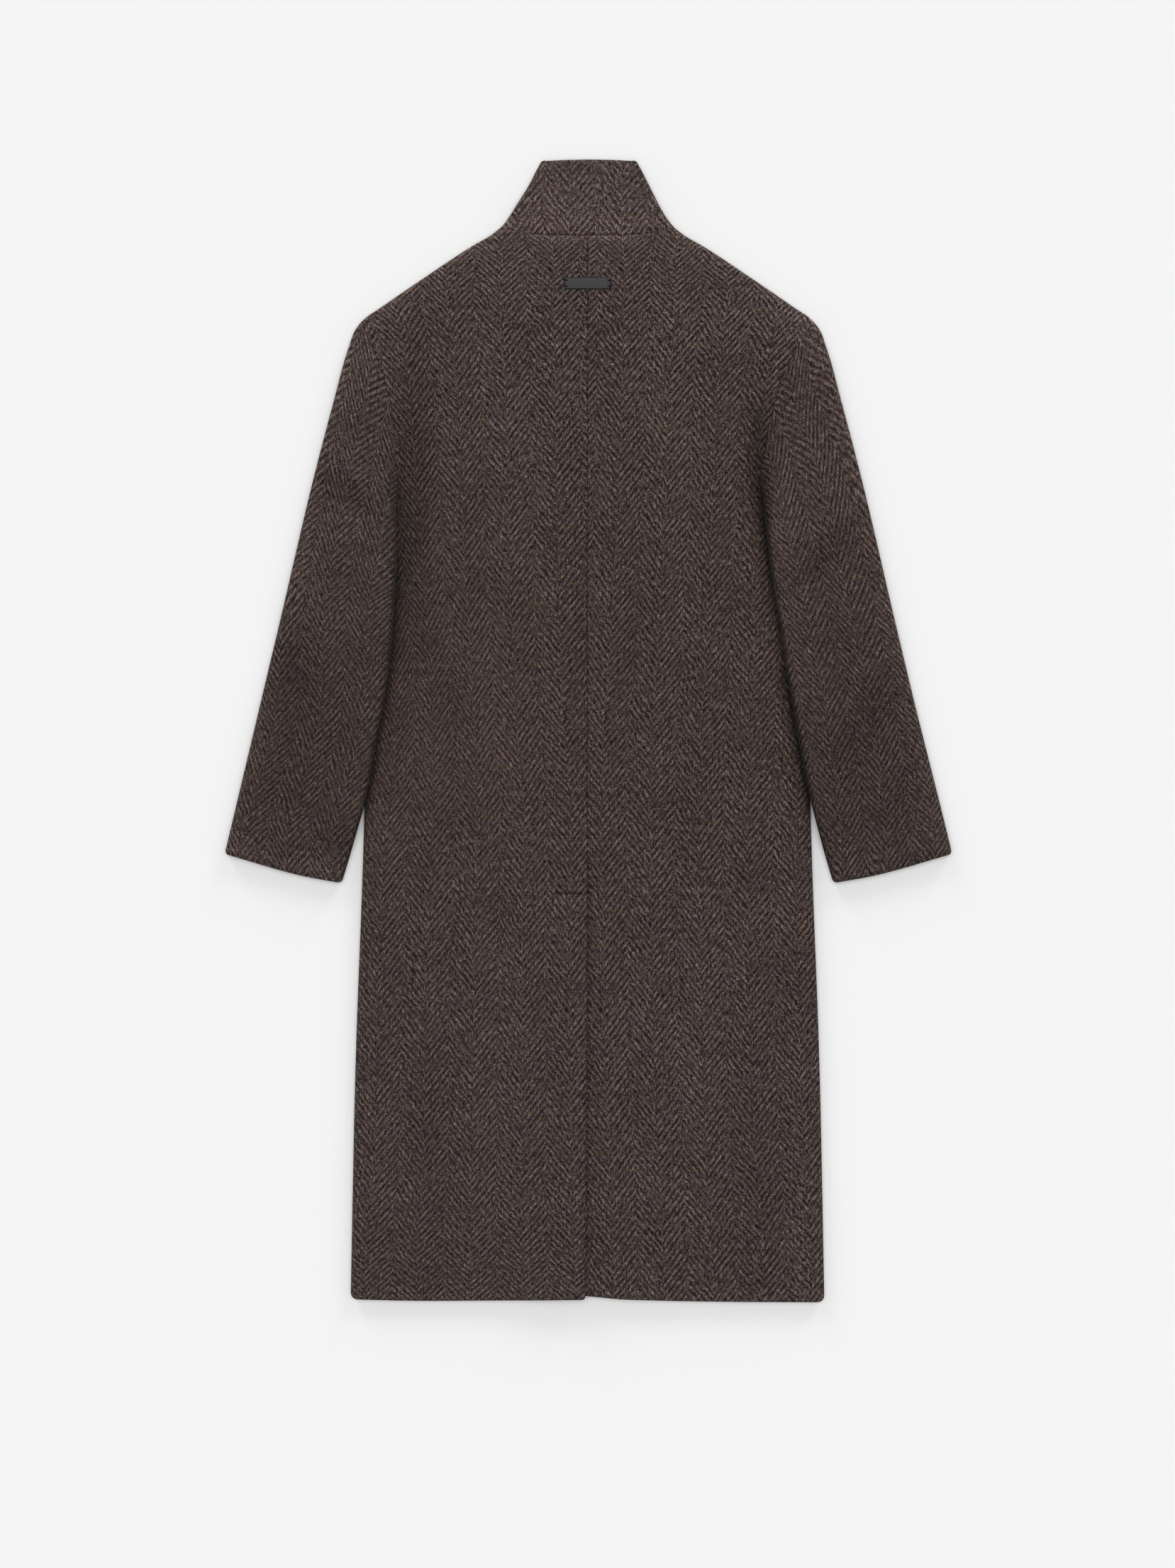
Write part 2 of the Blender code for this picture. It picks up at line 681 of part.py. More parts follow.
def make_tab():
    """The small bare tab across the centre back seam, laid on the panels."""
    width, length = TAB_SIZE

    def place(across, along):
        x = (across - 0.5) * width
        y = TAB_CENTRE_Y + (along - 0.5) * length
        return (x, y, upper(x, y) + SEAM_GAP)

    sheet, points = make_grid(8, 2, place)
    return finish_piece("back_tab", sheet, rubber, False, thickness=TAB_THICKNESS, bevel=TAB_BEVEL)


for old in list(bpy.data.objects):
    bpy.data.objects.remove(old, do_unlink=True)

collection = bpy.data.collections.new("stand_collar_overcoat")
bpy.context.scene.collection.children.link(collection)
coat = bpy.data.objects.new("overcoat", None)
collection.objects.link(coat)

wool = finish("herringbone wool", (0.061, 0.044, 0.039), 0.9)
rubber = finish("dark grey tab", (0.051, 0.051, 0.051), 0.6)

for side, word in ((-1, "left"), (1, "right")):
    make_front(side, "front_" + word)
    make_back(side, "back_" + word)
    make_sleeve_under(side, "sleeve_under_" + word)
    make_sleeve_top(side, "sleeve_top_" + word)
make_collar()
make_tab()
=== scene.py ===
"""Looks of the stand collar overcoat of herringbone wool, laid out flat on its front with its back up.

Metres, +Z up, in the part's own frame: the floor is z = 0, the centre back line is x = 0, the collar
points to +Y and the wearer's left is at -X. Shapes are worked out on the side where x is positive and
mirrored to the piece's side, -1 for left and 1 for right.
"""

import math
from collections import namedtuple

import bmesh
import bpy
import numpy as np
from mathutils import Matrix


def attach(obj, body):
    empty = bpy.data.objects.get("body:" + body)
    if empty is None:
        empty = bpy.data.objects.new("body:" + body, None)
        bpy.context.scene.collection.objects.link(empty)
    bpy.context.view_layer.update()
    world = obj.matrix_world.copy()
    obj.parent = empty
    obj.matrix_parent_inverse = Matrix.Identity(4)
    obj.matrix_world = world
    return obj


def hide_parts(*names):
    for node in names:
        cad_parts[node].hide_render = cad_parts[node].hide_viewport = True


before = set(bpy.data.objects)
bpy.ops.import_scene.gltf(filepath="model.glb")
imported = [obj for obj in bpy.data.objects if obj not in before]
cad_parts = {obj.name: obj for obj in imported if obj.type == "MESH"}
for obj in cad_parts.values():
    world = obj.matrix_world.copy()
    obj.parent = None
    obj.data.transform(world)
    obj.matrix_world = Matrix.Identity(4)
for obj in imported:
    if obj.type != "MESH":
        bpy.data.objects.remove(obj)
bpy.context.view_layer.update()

# The two sides
WORDS = {-1: "left", 1: "right"}

# Cloth
WALL = 0.0026
SEAM_GAP = 0.0003
FOLD_RADIUS = 0.0042
EDGE_LOFT = 2 * FOLD_RADIUS + SEAM_GAP
FOLD_RUN = 0.0056

# Lengths along the centre back
COLLAR_TOP_Y = 0.6263
NECK_SEAM_Y = 0.5416
FRONT_NECK_Y = 0.4780
FRONT_COLLAR_Y = 0.5600
UNDERARM_Y = 0.2000
VENT_TOP_Y = -0.1799
HEM_Y = {-1: -0.6262, 1: -0.6294}
FRONT_HEM_RISE = 0.012

# Widths
FRONT_OVERLAP = 0.030
STEP_START = 0.045
STEP_RUN = 0.060
VENT_UNDERLAP = 0.033
NECK_HALF = 0.097

# Heights of the back and the collar over their folded edges
CROWN_RISE = 0.0024
CROWN_REACH = 0.130
NECK_RISE = 0.0034
NECK_REACH = (0.100, 0.075)
COLLAR_DROP = 0.0032
COLLAR_SAG = 0.0016
COLLAR_SAG_REACH = 0.035
COLLAR_LEAN = 0.0016
COLLAR_LEAN_Y = (0.570, 0.602)
COLLAR_CORNER = 0.0012
COLLAR_CORNER_PART = (0.8, 0.2)
COLLAR_LOW_PART = 0.3
VENT_LEFT_RISE = 0.0024
VENT_RIGHT_DROP = 0.0009
VENT_RUN = 0.060
VENT_LEAN = 0.0024
HEM_DROP = 0.0012
HEM_RUN = 0.030

# How the sleeves lie over the body's sides
SLEEVE_CLEAR = 0.0004
SLEEVE_RISE = EDGE_LOFT + SLEEVE_CLEAR
SLEEVE_RISE_RUN = 0.075
SLEEVE_SLOPE = 0.048
UNDER_SLOPE = 0.032
UNDER_SHOULDER = 0.006
SLEEVE_DOWN_Y = (-0.155, -0.090)
UNDER_TURN = 0.020
CREASE_FLUSH = 0.035
CREASE_START_INSET = 0.0004
CREASE_RUN = 0.0062
DIVE_LENGTH = 0.040
UNDER_LEAVES_SIDE_Y = 0.178
UNDER_MEETS_FOLD_Y = 0.110
FOLD_MEET_RUN = 0.022
UNDER_BESIDE_SIDE = 0.0014
UNDER_BESIDE_PIT = (0.0020, 0.005)
PIT_BOW = (-0.002, -0.004)
CUFF_BOW_SHARE = 0.30
CUFF_BOW = (-0.0006, -0.0028)
CUFF_WIDENS = (0.06, 0.19)

# Seams and edges: how far the cloth rounds over, and how deep it goes
SEAM_RUN = 0.0030
CENTRE_SEAM_DROP = 0.0004
CENTRE_SEAM_NECK_DROP = 0.0006
CENTRE_SEAM_NECK = (0.42, 0.10)
ARMHOLE_DROP = 0.0007
NECK_SEAM_DROP = 0.0014
SEAM_TUCK = 0.0016
NECK_SEAM_SAG = 0.0030
SAG_SHARE = 0.55
NECK_SEAM_FADE = (0.056, 0.082)
SEAM_END_DROP = 0.25
SEAM_END_TUCK = 0.00095
SEAM_ENDS = (0.038, 0.078)
SEAM_WAVER = 0.00012
SEAM_WAVER_TURNS = (520.0, 210.0)
HEM_ROUND = (0.0040, 0.0030)
VENT_ROUND = (0.0036, 0.0020)
FLAT_EDGE = (0.0030, 0.0008)
VENT_START_RUN = 0.010
UNDERARM_RUN = 0.012
SHOULDER_TURN = (0.006, 0.008)
FRONT_SHOULDER_TURN = (0.012, 0.010)
STITCH_LINE_X = -0.0390
STITCH_START_RUN = 0.006
STITCH_GROOVE = (0.0012, 0.0011)

# Fine grid
CLOTH_STEP = 0.0036
HIDDEN_STEP = 0.0060
UNDERLAP_STEPS = 3
STITCH_ROWS = np.arange(-0.0070, 0.0020, 0.0008)
COLLAR_ROWS = 26
COLLAR_BACK_STEPS = 30
COLLAR_TURN_STEPS = 10
COLLAR_FRONT_STEPS = 34
BORDER_STEP = 0.01
RIM_TURNS = np.radians((90.0, 72.0, 52.0, 30.0, 0.0))

# Half outline in plan, from the collar's top corner over the shoulder to the cuff
Place = namedtuple("Place", "name x y")
OUTLINE = (
    Place("collar top", 0.0526, 0.6246),
    Place("collar middle", 0.0722, 0.5866),
    Place("neck", 0.0972, 0.5500),
    Place("neck foot", 0.1050, 0.5438),
    Place("shoulder start", 0.1248, 0.5322),
    Place("shoulder middle", 0.1780, 0.4972),
    Place("shoulder slope", 0.2292, 0.4621),
    Place("shoulder end", 0.2449, 0.4512),
    Place("shoulder corner", 0.2545, 0.4400),
    Place("sleeve head", 0.2624, 0.4193),
    Place("upper arm", 0.2797, 0.3571),
    Place("upper sleeve", 0.2961, 0.2949),
    Place("elbow", 0.3385, 0.1159),
    Place("cuff", 0.3985, -0.1368),
)
ARMHOLE_TOP = Place("armhole top", 0.2490, 0.4466)

# Half outline of the body's side, from the underarm to the hem
SIDE = (
    Place("underarm", 0.2410, UNDERARM_Y),
    Place("under the sleeve", 0.2453, -0.1020),
    Place("thigh", 0.2547, -0.3664),
    Place("hem", 0.2602, HEM_Y[1]),
)

# Hems of the back panels from the centre out, and how the corners are rounded
HEM = {
    -1: ((0.0, -0.6262), (0.110, -0.6275), (0.200, -0.6276)),
    1: ((0.0, -0.6226), (0.013, -0.6238), (0.034, -0.6258), (0.070, -0.6272), (0.140, -0.6287)),
}
CORNER_SLACK = 0.00005
CORNER_RADIUS = 0.0045
HEM_CORNER_RADIUS = 0.0080
VENT_CORNER_RADIUS = 0.0035
RIGHT_CUFF_WIDER = 0.0020

# Armhole seam and the fold of the sleeve below it, half widths on each side
Seam = namedtuple("Seam", "y left right")
ARMHOLE = (
    Seam(0.4080, 0.2315, 0.2235),
    Seam(0.3500, 0.2150, 0.2034),
)
CREASE = (
    Seam(0.2770, 0.2085, 0.1890),
    Seam(0.2248, 0.2098, 0.1955),
    Seam(0.1782, 0.2098, 0.2005),
    Seam(0.1315, 0.2118, 0.2082),
    Seam(0.0520, 0.2194, 0.2203),
    Seam(-0.0163, 0.2322, 0.2322),
    Seam(-0.0790, 0.2434, 0.2447),
    Seam(-0.1237, 0.2563, 0.2566),
    Seam(-0.1688, 0.2700, 0.2700),
)

# Front armhole and front neck, and how the collar's top edges bow
FRONT_ARMHOLE = (
    Place("front chest", 0.2220, 0.4000),
    Place("front middle", 0.2060, 0.3300),
)
FRONT_NECK = ((0.020, 0.004), (0.066, 0.030))
COLLAR_TOP_BOW = (0.025, -0.0006)
FRONT_COLLAR_BOW = (0.010, 0.004)
FRONT_SCOOP = Place("front scoop", 0.2030, 0.2700)
FRONT_PIT = Place("front underarm", 0.2130, 0.2250)

# Creases of the upper side: soft troughs below zero and ridges above; their rises also set painted shade in
# the troughs and painted light on the ridges
Fold = namedtuple("Fold", "name x y turn half_length half_width rise")
FOLDS = (
    Fold("hollow by the left armhole", -0.195, 0.250, 87.0, 0.185, 0.020, -0.0030),
    Fold("hollow by the right armhole", 0.184, 0.290, 84.0, 0.080, 0.018, -0.0012),
    Fold("right shoulder", 0.216, 0.446, 150.0, 0.034, 0.022, 0.0012),
    Fold("left sleeve head", -0.236, 0.398, 75.0, 0.035, 0.016, 0.0014),
    Fold("right sleeve head", 0.236, 0.420, 110.0, 0.030, 0.016, 0.0012),
    Fold("left upper arm pull", -0.255, 0.249, 140.0, 0.042, 0.014, -0.0030),
    Fold("left upper arm ridge", -0.262, 0.290, 136.0, 0.036, 0.013, 0.0006),
    Fold("right upper arm pull", 0.263, 0.190, 48.0, 0.046, 0.014, -0.0028),
    Fold("right upper arm ridge", 0.262, 0.226, 44.0, 0.040, 0.014, 0.0004),
    Fold("left elbow", -0.320, 0.050, 118.0, 0.058, 0.024, -0.0028),
    Fold("left elbow ridge", -0.292, 0.094, 124.0, 0.040, 0.014, 0.0006),
    Fold("right elbow", 0.306, 0.006, 60.0, 0.060, 0.022, -0.0026),
    Fold("right elbow ridge", 0.300, 0.060, 54.0, 0.045, 0.014, 0.0005),
    Fold("left forearm", -0.330, -0.040, 100.0, 0.060, 0.018, -0.0008),
    Fold("right forearm", 0.344, -0.062, 78.0, 0.050, 0.016, -0.0009),
    Fold("left body hollow", -0.185, 0.213, 93.0, 0.110, 0.018, -0.0015),
    Fold("left blade", -0.105, 0.330, 95.0, 0.150, 0.045, 0.0008),
    Fold("right blade", 0.100, 0.300, 86.0, 0.170, 0.045, 0.0008),
    Fold("left waist wave", -0.150, -0.020, 97.0, 0.130, 0.026, -0.0005),
    Fold("left waist swell", -0.095, -0.060, 92.0, 0.150, 0.030, 0.0004),
    Fold("right waist wave", 0.140, 0.060, 84.0, 0.150, 0.028, -0.0004),
    Fold("left skirt wave", -0.170, -0.360, 88.0, 0.190, 0.034, -0.0003),
    Fold("left skirt swell", -0.105, -0.420, 93.0, 0.160, 0.032, 0.0004),
    Fold("right skirt wave", 0.195, -0.430, 91.0, 0.200, 0.032, -0.0005),
    Fold("right skirt swell", 0.125, -0.330, 86.0, 0.170, 0.034, 0.0003),
    Fold("vent pull", -0.055, -0.170, 25.0, 0.035, 0.014, -0.0006),
)

# Soft waves of the side that rests on the floor, which it leaves by less than the cloth's thickness
UNDER_FOLDS = (
    Fold("left front skirt", -0.160, -0.380, 94.0, 0.180, 0.028, 0.0007),
    Fold("left front waist", -0.120, 0.020, 88.0, 0.120, 0.022, 0.0006),
    Fold("left chest", -0.140, 0.300, 70.0, 0.070, 0.018, 0.0006),
    Fold("right front skirt", 0.170, -0.420, 86.0, 0.200, 0.030, 0.0007),
    Fold("right front waist", 0.155, -0.060, 95.0, 0.110, 0.020, 0.0006),
    Fold("right chest", 0.135, 0.320, 112.0, 0.080, 0.020, 0.0006),
    Fold("left under elbow", -0.320, 0.060, 118.0, 0.050, 0.014, 0.0007),
    Fold("right under elbow", 0.318, 0.020, 62.0, 0.050, 0.014, 0.0007),
)

# Herringbone: a column of slanted lines and the height of one line's repeat
COLUMN = 0.0268
LINE_PITCH = 0.0088
LINES_ACROSS = 4
WOOL_LEVEL = 0.0418
WOOL_SHEEN = (0.80, 0.66, 0.58, 1.0)
WOOL_RELIEF = (0.55, 0.0007)

# Sizes of the wool's mottles, in metres of cloth
DRIFT_SIZE = 0.030
WAVER_SIZE = 0.0065
CLEAR_SIZE = 0.018
TUFT_SIZE = 0.0075
GOLD_SIZE = 0.0036
HEATHER_SIZE = 0.0056
PATCH_SIZE = 0.060

# How far drift and waver move the columns and the lines, in columns and in lines
COLUMN_WANDER = (0.16, 0.12)
LINE_WANDER = (0.4, 0.24)

# Spots of the yarns over a column's width and over a line, and how strong they are
DABS = (11.0, 1.6)
DAB_STRENGTH = 2.4
FLECKS = (34.0, 4.8)
FLECK_STRENGTH = 5.0
BRIGHT_LIMIT = 0.13

# Hues of the yarns, and what tints them
WHITE = (1.0, 1.0, 1.0, 1.0)
DARK_YARN = (1.0, 0.527, 0.517, 1.0)
PALE_YARN = (1.0, 0.780, 0.715, 1.0)
GOLD_YARN = (1.0, 0.725, 0.555, 1.0)
COOLER = (0.99, 1.015, 1.05, 1.0)
FLECK_TINT = (-0.56, 0.0, 0.54)
HEATHER_TINT = (0.39, 0.0, 1.0)
TINT_START = (1.11, 1.0, 0.20)

# Lie of the columns on the back: columns from the centre seam to the first edge, width and narrowing
Grain = namedtuple("Grain", "y left_seam left_width left_narrows right_seam right_width")
BACK_GRAIN = (
    Grain(0.470, 1.30, 0.0291, 0.000, 1.41, 0.0284),
    Grain(0.412, 1.29, 0.0281, 0.005, 1.40, 0.0272),
    Grain(0.324, 1.29, 0.0271, 0.007, 1.38, 0.0259),
    Grain(0.237, 1.18, 0.0278, 0.018, 1.25, 0.0262),
    Grain(0.149, 1.12, 0.0280, 0.027, 1.07, 0.0260),
    Grain(0.062, 1.05, 0.0272, 0.029, 0.89, 0.0265),
    Grain(-0.026, 0.88, 0.0266, 0.016, 0.64, 0.0267),
    Grain(-0.114, 0.68, 0.0260, 0.003, 0.58, 0.0268),
    Grain(-0.230, 0.72, 0.0261, 0.000, 0.66, 0.0266),
    Grain(-0.347, 0.73, 0.0265, 0.000, 0.70, 0.0268),
    Grain(-0.464, 0.69, 0.0269, 0.000, 0.90, 0.0267),
    Grain(-0.580, 0.48, 0.0288, 0.000, 1.06, 0.0272),
)

# Lie of the columns on the sleeves: half width of one column edge, and how the cross yarns droop
SleeveGrain = namedtuple("SleeveGrain", "y left_edge left_droop right_edge right_droop")
SLEEVE_GRAIN = (
    SleeveGrain(0.430, 0.2290, 1.00, 0.1560, 0.90),
    SleeveGrain(0.353, 0.2455, 0.85, 0.1786, 0.78),
    SleeveGrain(0.295, 0.2587, 0.60, 0.2000, 0.60),
    SleeveGrain(0.237, 0.2711, 0.38, 0.2146, 0.34),
    SleeveGrain(0.178, 0.2812, 0.46, 0.2283, 0.12),
    SleeveGrain(0.120, 0.2892, 0.20, 0.2416, 0.04),
    SleeveGrain(0.062, 0.2905, 0.10, 0.2540, 0.04),
    SleeveGrain(0.003, 0.2963, 0.20, 0.2635, 0.08),
    SleeveGrain(-0.055, 0.3120, 0.25, 0.2722, 0.10),
    SleeveGrain(-0.114, 0.3287, 0.28, 0.2790, 0.20),
)
SLEEVE_COLUMN = {-1: 0.0241, 1: 0.0254}

# Even number of columns that keeps the pattern, by which the wool tells the sleeves from the body
SLEEVE_COLUMNS_OUT = 40

# Columns of the collar, and where lines lie closer at the neck and the hem
COLLAR_EDGE_X = -0.0202
COLLAR_COLUMN = 0.0285
NECK_SHORTENS = (0.475, 0.45)
HEM_SHORTENS = (-0.555, 0.35)
SHORTEN_RUN = 0.030

# Fields of a cloth piece's cut: its width and length laid flat, and its area
Cut = namedtuple("Cut", "width length area")

# Back tab and its stitches
TAB_SIZE = (0.0505, 0.0122)
TAB_CENTRE_Y = 0.4890
TAB_THICKNESS = 0.0013
TAB_CORNER = 0.0006
TAB_EDGE = 0.00110
# The tab's foot flares out by this much, and its flared sides are black: painted shade around the tab's
# border
TAB_FLARE = 0.0004
TAB_SPANS = 12
TAB_DARK = (0.024, 0.0252, 0.0245, 1.0)
TAB_PALE = (0.039, 0.0402, 0.0395, 1.0)
TAB_RELIEF = (0.15, 0.0002)
TAB_STITCH_INSET = (0.0036, 0.0027)
TAB_STITCH_LENGTH = 0.0046
TAB_THREAD = 0.00068
VENT_THREAD = 0.00048
VENT_STITCH_LENGTH = 0.0030
VENT_STITCHES = 9
VENT_STITCH_WANDER = 0.0002
VENT_STITCH_TURN = 0.03
STITCH_BOW = 0.8
FINE_SCALE = 900.0
SHARP_ANGLE = math.radians(40.0)

# Painted light on the collar at its seam and its top, painted shade and light on the folds, and painted light
# on the cuffs
COLLAR_PAINTED_LIGHT = (1.496, 1.1696)
FOLD_SHADE = 110.0
CUFF_SLOPE = 0.231
CUFF_LIGHT = {-1: 0.28, 1: 0.08}
CUFF_LIGHT_WIDTH = 0.022
SLEEVE_SIDE_SHADE = 0.45
SLEEVE_SIDE_SHADE_Y = (0.212, 0.262)

# Painted shade and painted light of seams and edges: a strength and a width
CENTRE_SEAM_SHADE = (0.15, 0.30)
CENTRE_SEAM_SHADE_Y = (0.42, 0.48)
CENTRE_SEAM_SHADE_WIDTH = 0.0011
NECK_LIGHT = (0.60, 0.0034)
NECK_LIGHT_ENDS = (0.040, 0.075)
VENT_SHADE_RUN = 0.012
VENT_SHADES = ((0.22, 0.0022), (0.13, 0.0085))
VENT_EDGE_SHADE = (0.25, 0.0012)
STITCH_SHADE = (0.55, 0.0012)
STITCH_RIDGE_LIGHT = 0.20
STITCH_RIDGE_LIGHT_RUNS = (0.003, 0.016, 0.010)
EDGE_SLANT = (0.97, 0.56)
EDGE_SLANT_Y = (0.43, 0.46)
EDGE_LIGHTS = ((0.18, 0.018), (0.10, 0.004))
HEM_LIGHT = (0.14, 0.014)

# Painted light and shade by height on the back and the sleeves, and the painted shade beside the sleeve's
# fold
PaintedShading = namedtuple("PaintedShading", "y back sleeve")
PAINTED_SHADING_BY_HEIGHT = (
    PaintedShading(0.560, 1.20, 1.10),
    PaintedShading(0.520, 1.17, 1.10),
    PaintedShading(0.450, 1.09, 1.09),
    PaintedShading(0.370, 1.05, 1.06),
    PaintedShading(0.290, 1.01, 1.03),
    PaintedShading(0.210, 1.00, 1.00),
    PaintedShading(0.120, 1.00, 0.96),
    PaintedShading(0.000, 1.00, 0.89),
    PaintedShading(-0.150, 1.02, 0.86),
    PaintedShading(-0.600, 1.01, 0.86),
)
Shade = namedtuple("Shade", "y left left_width right right_width")
CREASE_SHADES = (
    Shade(0.365, 0.00, 0.0080, 0.00, 0.0150),
    Shade(0.334, 0.00, 0.0080, 0.40, 0.0140),
    Shade(0.300, 0.08, 0.0090, 0.50, 0.0130),
    Shade(0.272, 0.34, 0.0090, 0.72, 0.0125),
    Shade(0.240, 0.44, 0.0085, 0.84, 0.0115),
    Shade(0.217, 0.32, 0.0105, 0.86, 0.0090),
    Shade(0.186, 0.48, 0.0100, 0.86, 0.0080),
    Shade(0.139, 0.68, 0.0085, 0.72, 0.0065),
    Shade(0.073, 0.66, 0.0075, 0.74, 0.0070),
    Shade(0.022, 0.68, 0.0070, 0.84, 0.0080),
    Shade(-0.055, 0.70, 0.0070, 0.84, 0.0080),
    Shade(-0.110, 0.60, 0.0060, 0.60, 0.0060),
)


def ease(share):
    """A smooth step from 0 to 1."""
    share = np.clip(share, 0.0, 1.0)
    return share * share * (3.0 - 2.0 * share)


def rise(value, start, end):
    """A smooth step from 0 at a start to 1 at an end."""
    return ease((value - start) / (end - start))


def near(distance, width):
    """1 at no distance, falling softly over a width."""
    return np.exp(-((distance / width) ** 2))


def mix(first, second, share):
    return first + (second - first) * share


def past(value, start, run):
    """How far a value is past a start, softened over a run."""
    return ((value - start) + np.sqrt((value - start) ** 2 + run * run)) / 2


def spot(x, y):
    return np.array([x, y])


class Line:
    """A line in plan, read by its share of length from 0 to 1."""

    def __init__(self, points):
        self.points = np.array(points, float)
        steps = np.linalg.norm(np.diff(self.points, axis=0), axis=1)
        self.length = steps.sum()
        self.shares = np.concatenate([[0.0], np.cumsum(steps)]) / self.length

    @classmethod
    def through(cls, *knots, per_span=24):
        """A smooth curve through the knots: a cubic on each span."""
        knots = np.array(knots, float)
        chords = np.linalg.norm(np.diff(knots, axis=0), axis=1)
        slopes = np.gradient(knots, np.concatenate([[0.0], np.cumsum(chords)]), axis=0)
        t = np.arange(1, per_span + 1)[:, None] / per_span
        points = [knots[:1]]
        for i, chord in enumerate(chords):
            bend = mix(knots[i], knots[i + 1], t * t * (3.0 - 2.0 * t))
            lead = t * (1.0 - t) ** 2 * chord * slopes[i]
            trail = t * t * (t - 1.0) * chord * slopes[i + 1]
            points.append(bend + lead + trail)
        return cls(np.concatenate(points))

    def at(self, share):
        return np.stack([np.interp(share, self.shares, self.points[:, axis]) for axis in (0, 1)], axis=-1)

    def share_at_y(self, y):
        """Share of a line that runs down in y."""
        return np.interp(-np.asarray(y), -self.points[:, 1], self.shares)

    def part(self, start, end, count=200):
        return Line(self.at(np.linspace(start, end, count + 1)))

    def moved(self, x=0.0, y=0.0):
        return Line(self.points + spot(x, y))


class Chain:
    """Lines end to end, each over its own share of the grid's steps."""

    def __init__(self, *parts):
        self.lines = [line for line, count in parts]
        self.ends = np.concatenate([[0], np.cumsum([count for line, count in parts])])

    def at(self, share):
        step = np.asarray(share) * self.ends[-1]
        place = self.lines[0].at(step / self.ends[1])
        for line, start, end in zip(self.lines[1:], self.ends[1:], self.ends[2:]):
            place = np.where((step > start)[..., None], line.at((step - start) / (end - start)), place)
        return place


def straight(start, end):
    return Line([start, end])


def steps_of(line, step):
    return max(round(line.length / step), 2)


def chained(step, *lines):
    """Lines end to end, each with as many of the grid's steps as its length takes."""
    return Chain(*[(line, steps_of(line, step)) for line in lines])


def patch(bottom, top, inner, outer):
    """The plan place between four lines that meet at their ends, at a share across and a share along."""
    def at(across, along):
        a = np.asarray(across)[..., None]
        b = np.asarray(along)[..., None]
        ends = mix(mix(bottom.at(0.0), bottom.at(1.0), a), mix(top.at(0.0), top.at(1.0), a), b)
        ruled = mix(bottom.at(across), top.at(across), b)
        return ruled + mix(inner.at(along), outer.at(along), a) - ends
    return at


def column_of(rows, name):
    """A smooth reading of one column of a table at any height up the coat."""
    curve = Line.through(*[(getattr(row, name), row.y) for row in rows])
    def read(y):
        return np.interp(-np.asarray(y), -curve.points[:, 1], curve.points[:, 0])
    return read


# Plan lines shared by the pieces, on the side where x is positive
outline = Line.through(*[(place.x, place.y) for place in OUTLINE])
side_line = Line.through(*[(place.x, place.y) for place in SIDE])
neck_y = next(place.y for place in OUTLINE if place.name == "neck")
neck_share = outline.share_at_y(neck_y)
armhole_share = outline.share_at_y(ARMHOLE_TOP.y)
corner_slack = CORNER_SLACK / outline.length


def reading(row, side):
    """A seam row's half width on one side of the coat."""
    return (getattr(row, WORDS[side]), row.y)


def crease_line(side):
    return Line.through(*[reading(row, side) for row in CREASE])


def vent_lean(y):
    """How far the vent's edge has moved to the left at a height up the coat."""
    return VENT_LEAN * np.clip((VENT_TOP_Y - y) / (VENT_TOP_Y - HEM_Y[-1]), 0.0, 1.0)


def side_x(y):
    """Half width of the body at a height up the coat."""
    return side_line.at(side_line.share_at_y(y))[..., 0]


def above_underarm(y):
    """0 along the body's side, rising to 1 above the underarm."""
    return ease((y - UNDERARM_Y) / UNDERARM_RUN)


# Heights of the cloth's outer side
def fold_rise(folds, x, y):
    """Sum of a table's folds at a place."""
    total = np.zeros_like(x)
    for fold in folds:
        turn = math.radians(fold.turn)
        along = ((x - fold.x) * math.cos(turn) + (y - fold.y) * math.sin(turn)) / fold.half_length
        across = ((y - fold.y) * math.cos(turn) - (x - fold.x) * math.sin(turn)) / fold.half_width
        total = total + fold.rise * np.exp(-along * along - across * across)
    return total


def upper(x, y):
    """Upper side of the back, the collar and the sleeves' heads."""
    crown = CROWN_RISE * np.maximum(1.0 - (x / CROWN_REACH) ** 2, 0.0) ** 2
    neck = np.exp(-((x / NECK_REACH[0]) ** 2) - ((y - NECK_SEAM_Y) / NECK_REACH[1]) ** 2)
    up_collar = ease((y - NECK_SEAM_Y) / (COLLAR_TOP_Y - NECK_SEAM_Y))
    sag = COLLAR_SAG * near(x, COLLAR_SAG_REACH)
    drop = (COLLAR_DROP + sag) * up_collar
    return EDGE_LOFT + crown + NECK_RISE * neck - drop + fold_rise(FOLDS, x, y)


def hem_drop(y, side):
    return HEM_DROP * ease((HEM_Y[side] + HEM_RUN - y) / HEM_RUN)


def back_height(x, y, side):
    """Upper side of a back panel: the left one climbs over the vent underlap, the right one dips."""
    vent = ease((VENT_TOP_Y + VENT_RUN - y) / VENT_RUN)
    if side > 0:
        dip = VENT_RIGHT_DROP * ease((VENT_RUN - x) / VENT_RUN)
        return upper(x, y) - vent * dip - hem_drop(y, side)
    climb = VENT_LEFT_RISE * ease((x + VENT_UNDERLAP + VENT_RUN) / VENT_RUN)
    depth, half_width = STITCH_GROOVE
    groove = depth * near(y - VENT_TOP_Y, half_width) * ease((x - STITCH_LINE_X) / STITCH_START_RUN)
    return upper(x, y) + vent * climb - groove - hem_drop(y, side)


def floor_height(x, y, side):
    """Lower side of a front: the right one steps up over the left one's edge."""
    wave = fold_rise(UNDER_FOLDS, x, y)
    if side < 0:
        return wave
    return wave + (WALL + 2 * SEAM_GAP) * ease((STEP_START + STEP_RUN - x) / STEP_RUN)


def over_side(x, y, slope):
    """1 where a place lies over the body's side, falling to 0 on the floor beside it and by the cuff."""
    beside = ease((side_x(y) - np.abs(x) + slope) / (slope - UNDER_SHOULDER))
    return beside * rise(y, *SLEEVE_DOWN_Y)


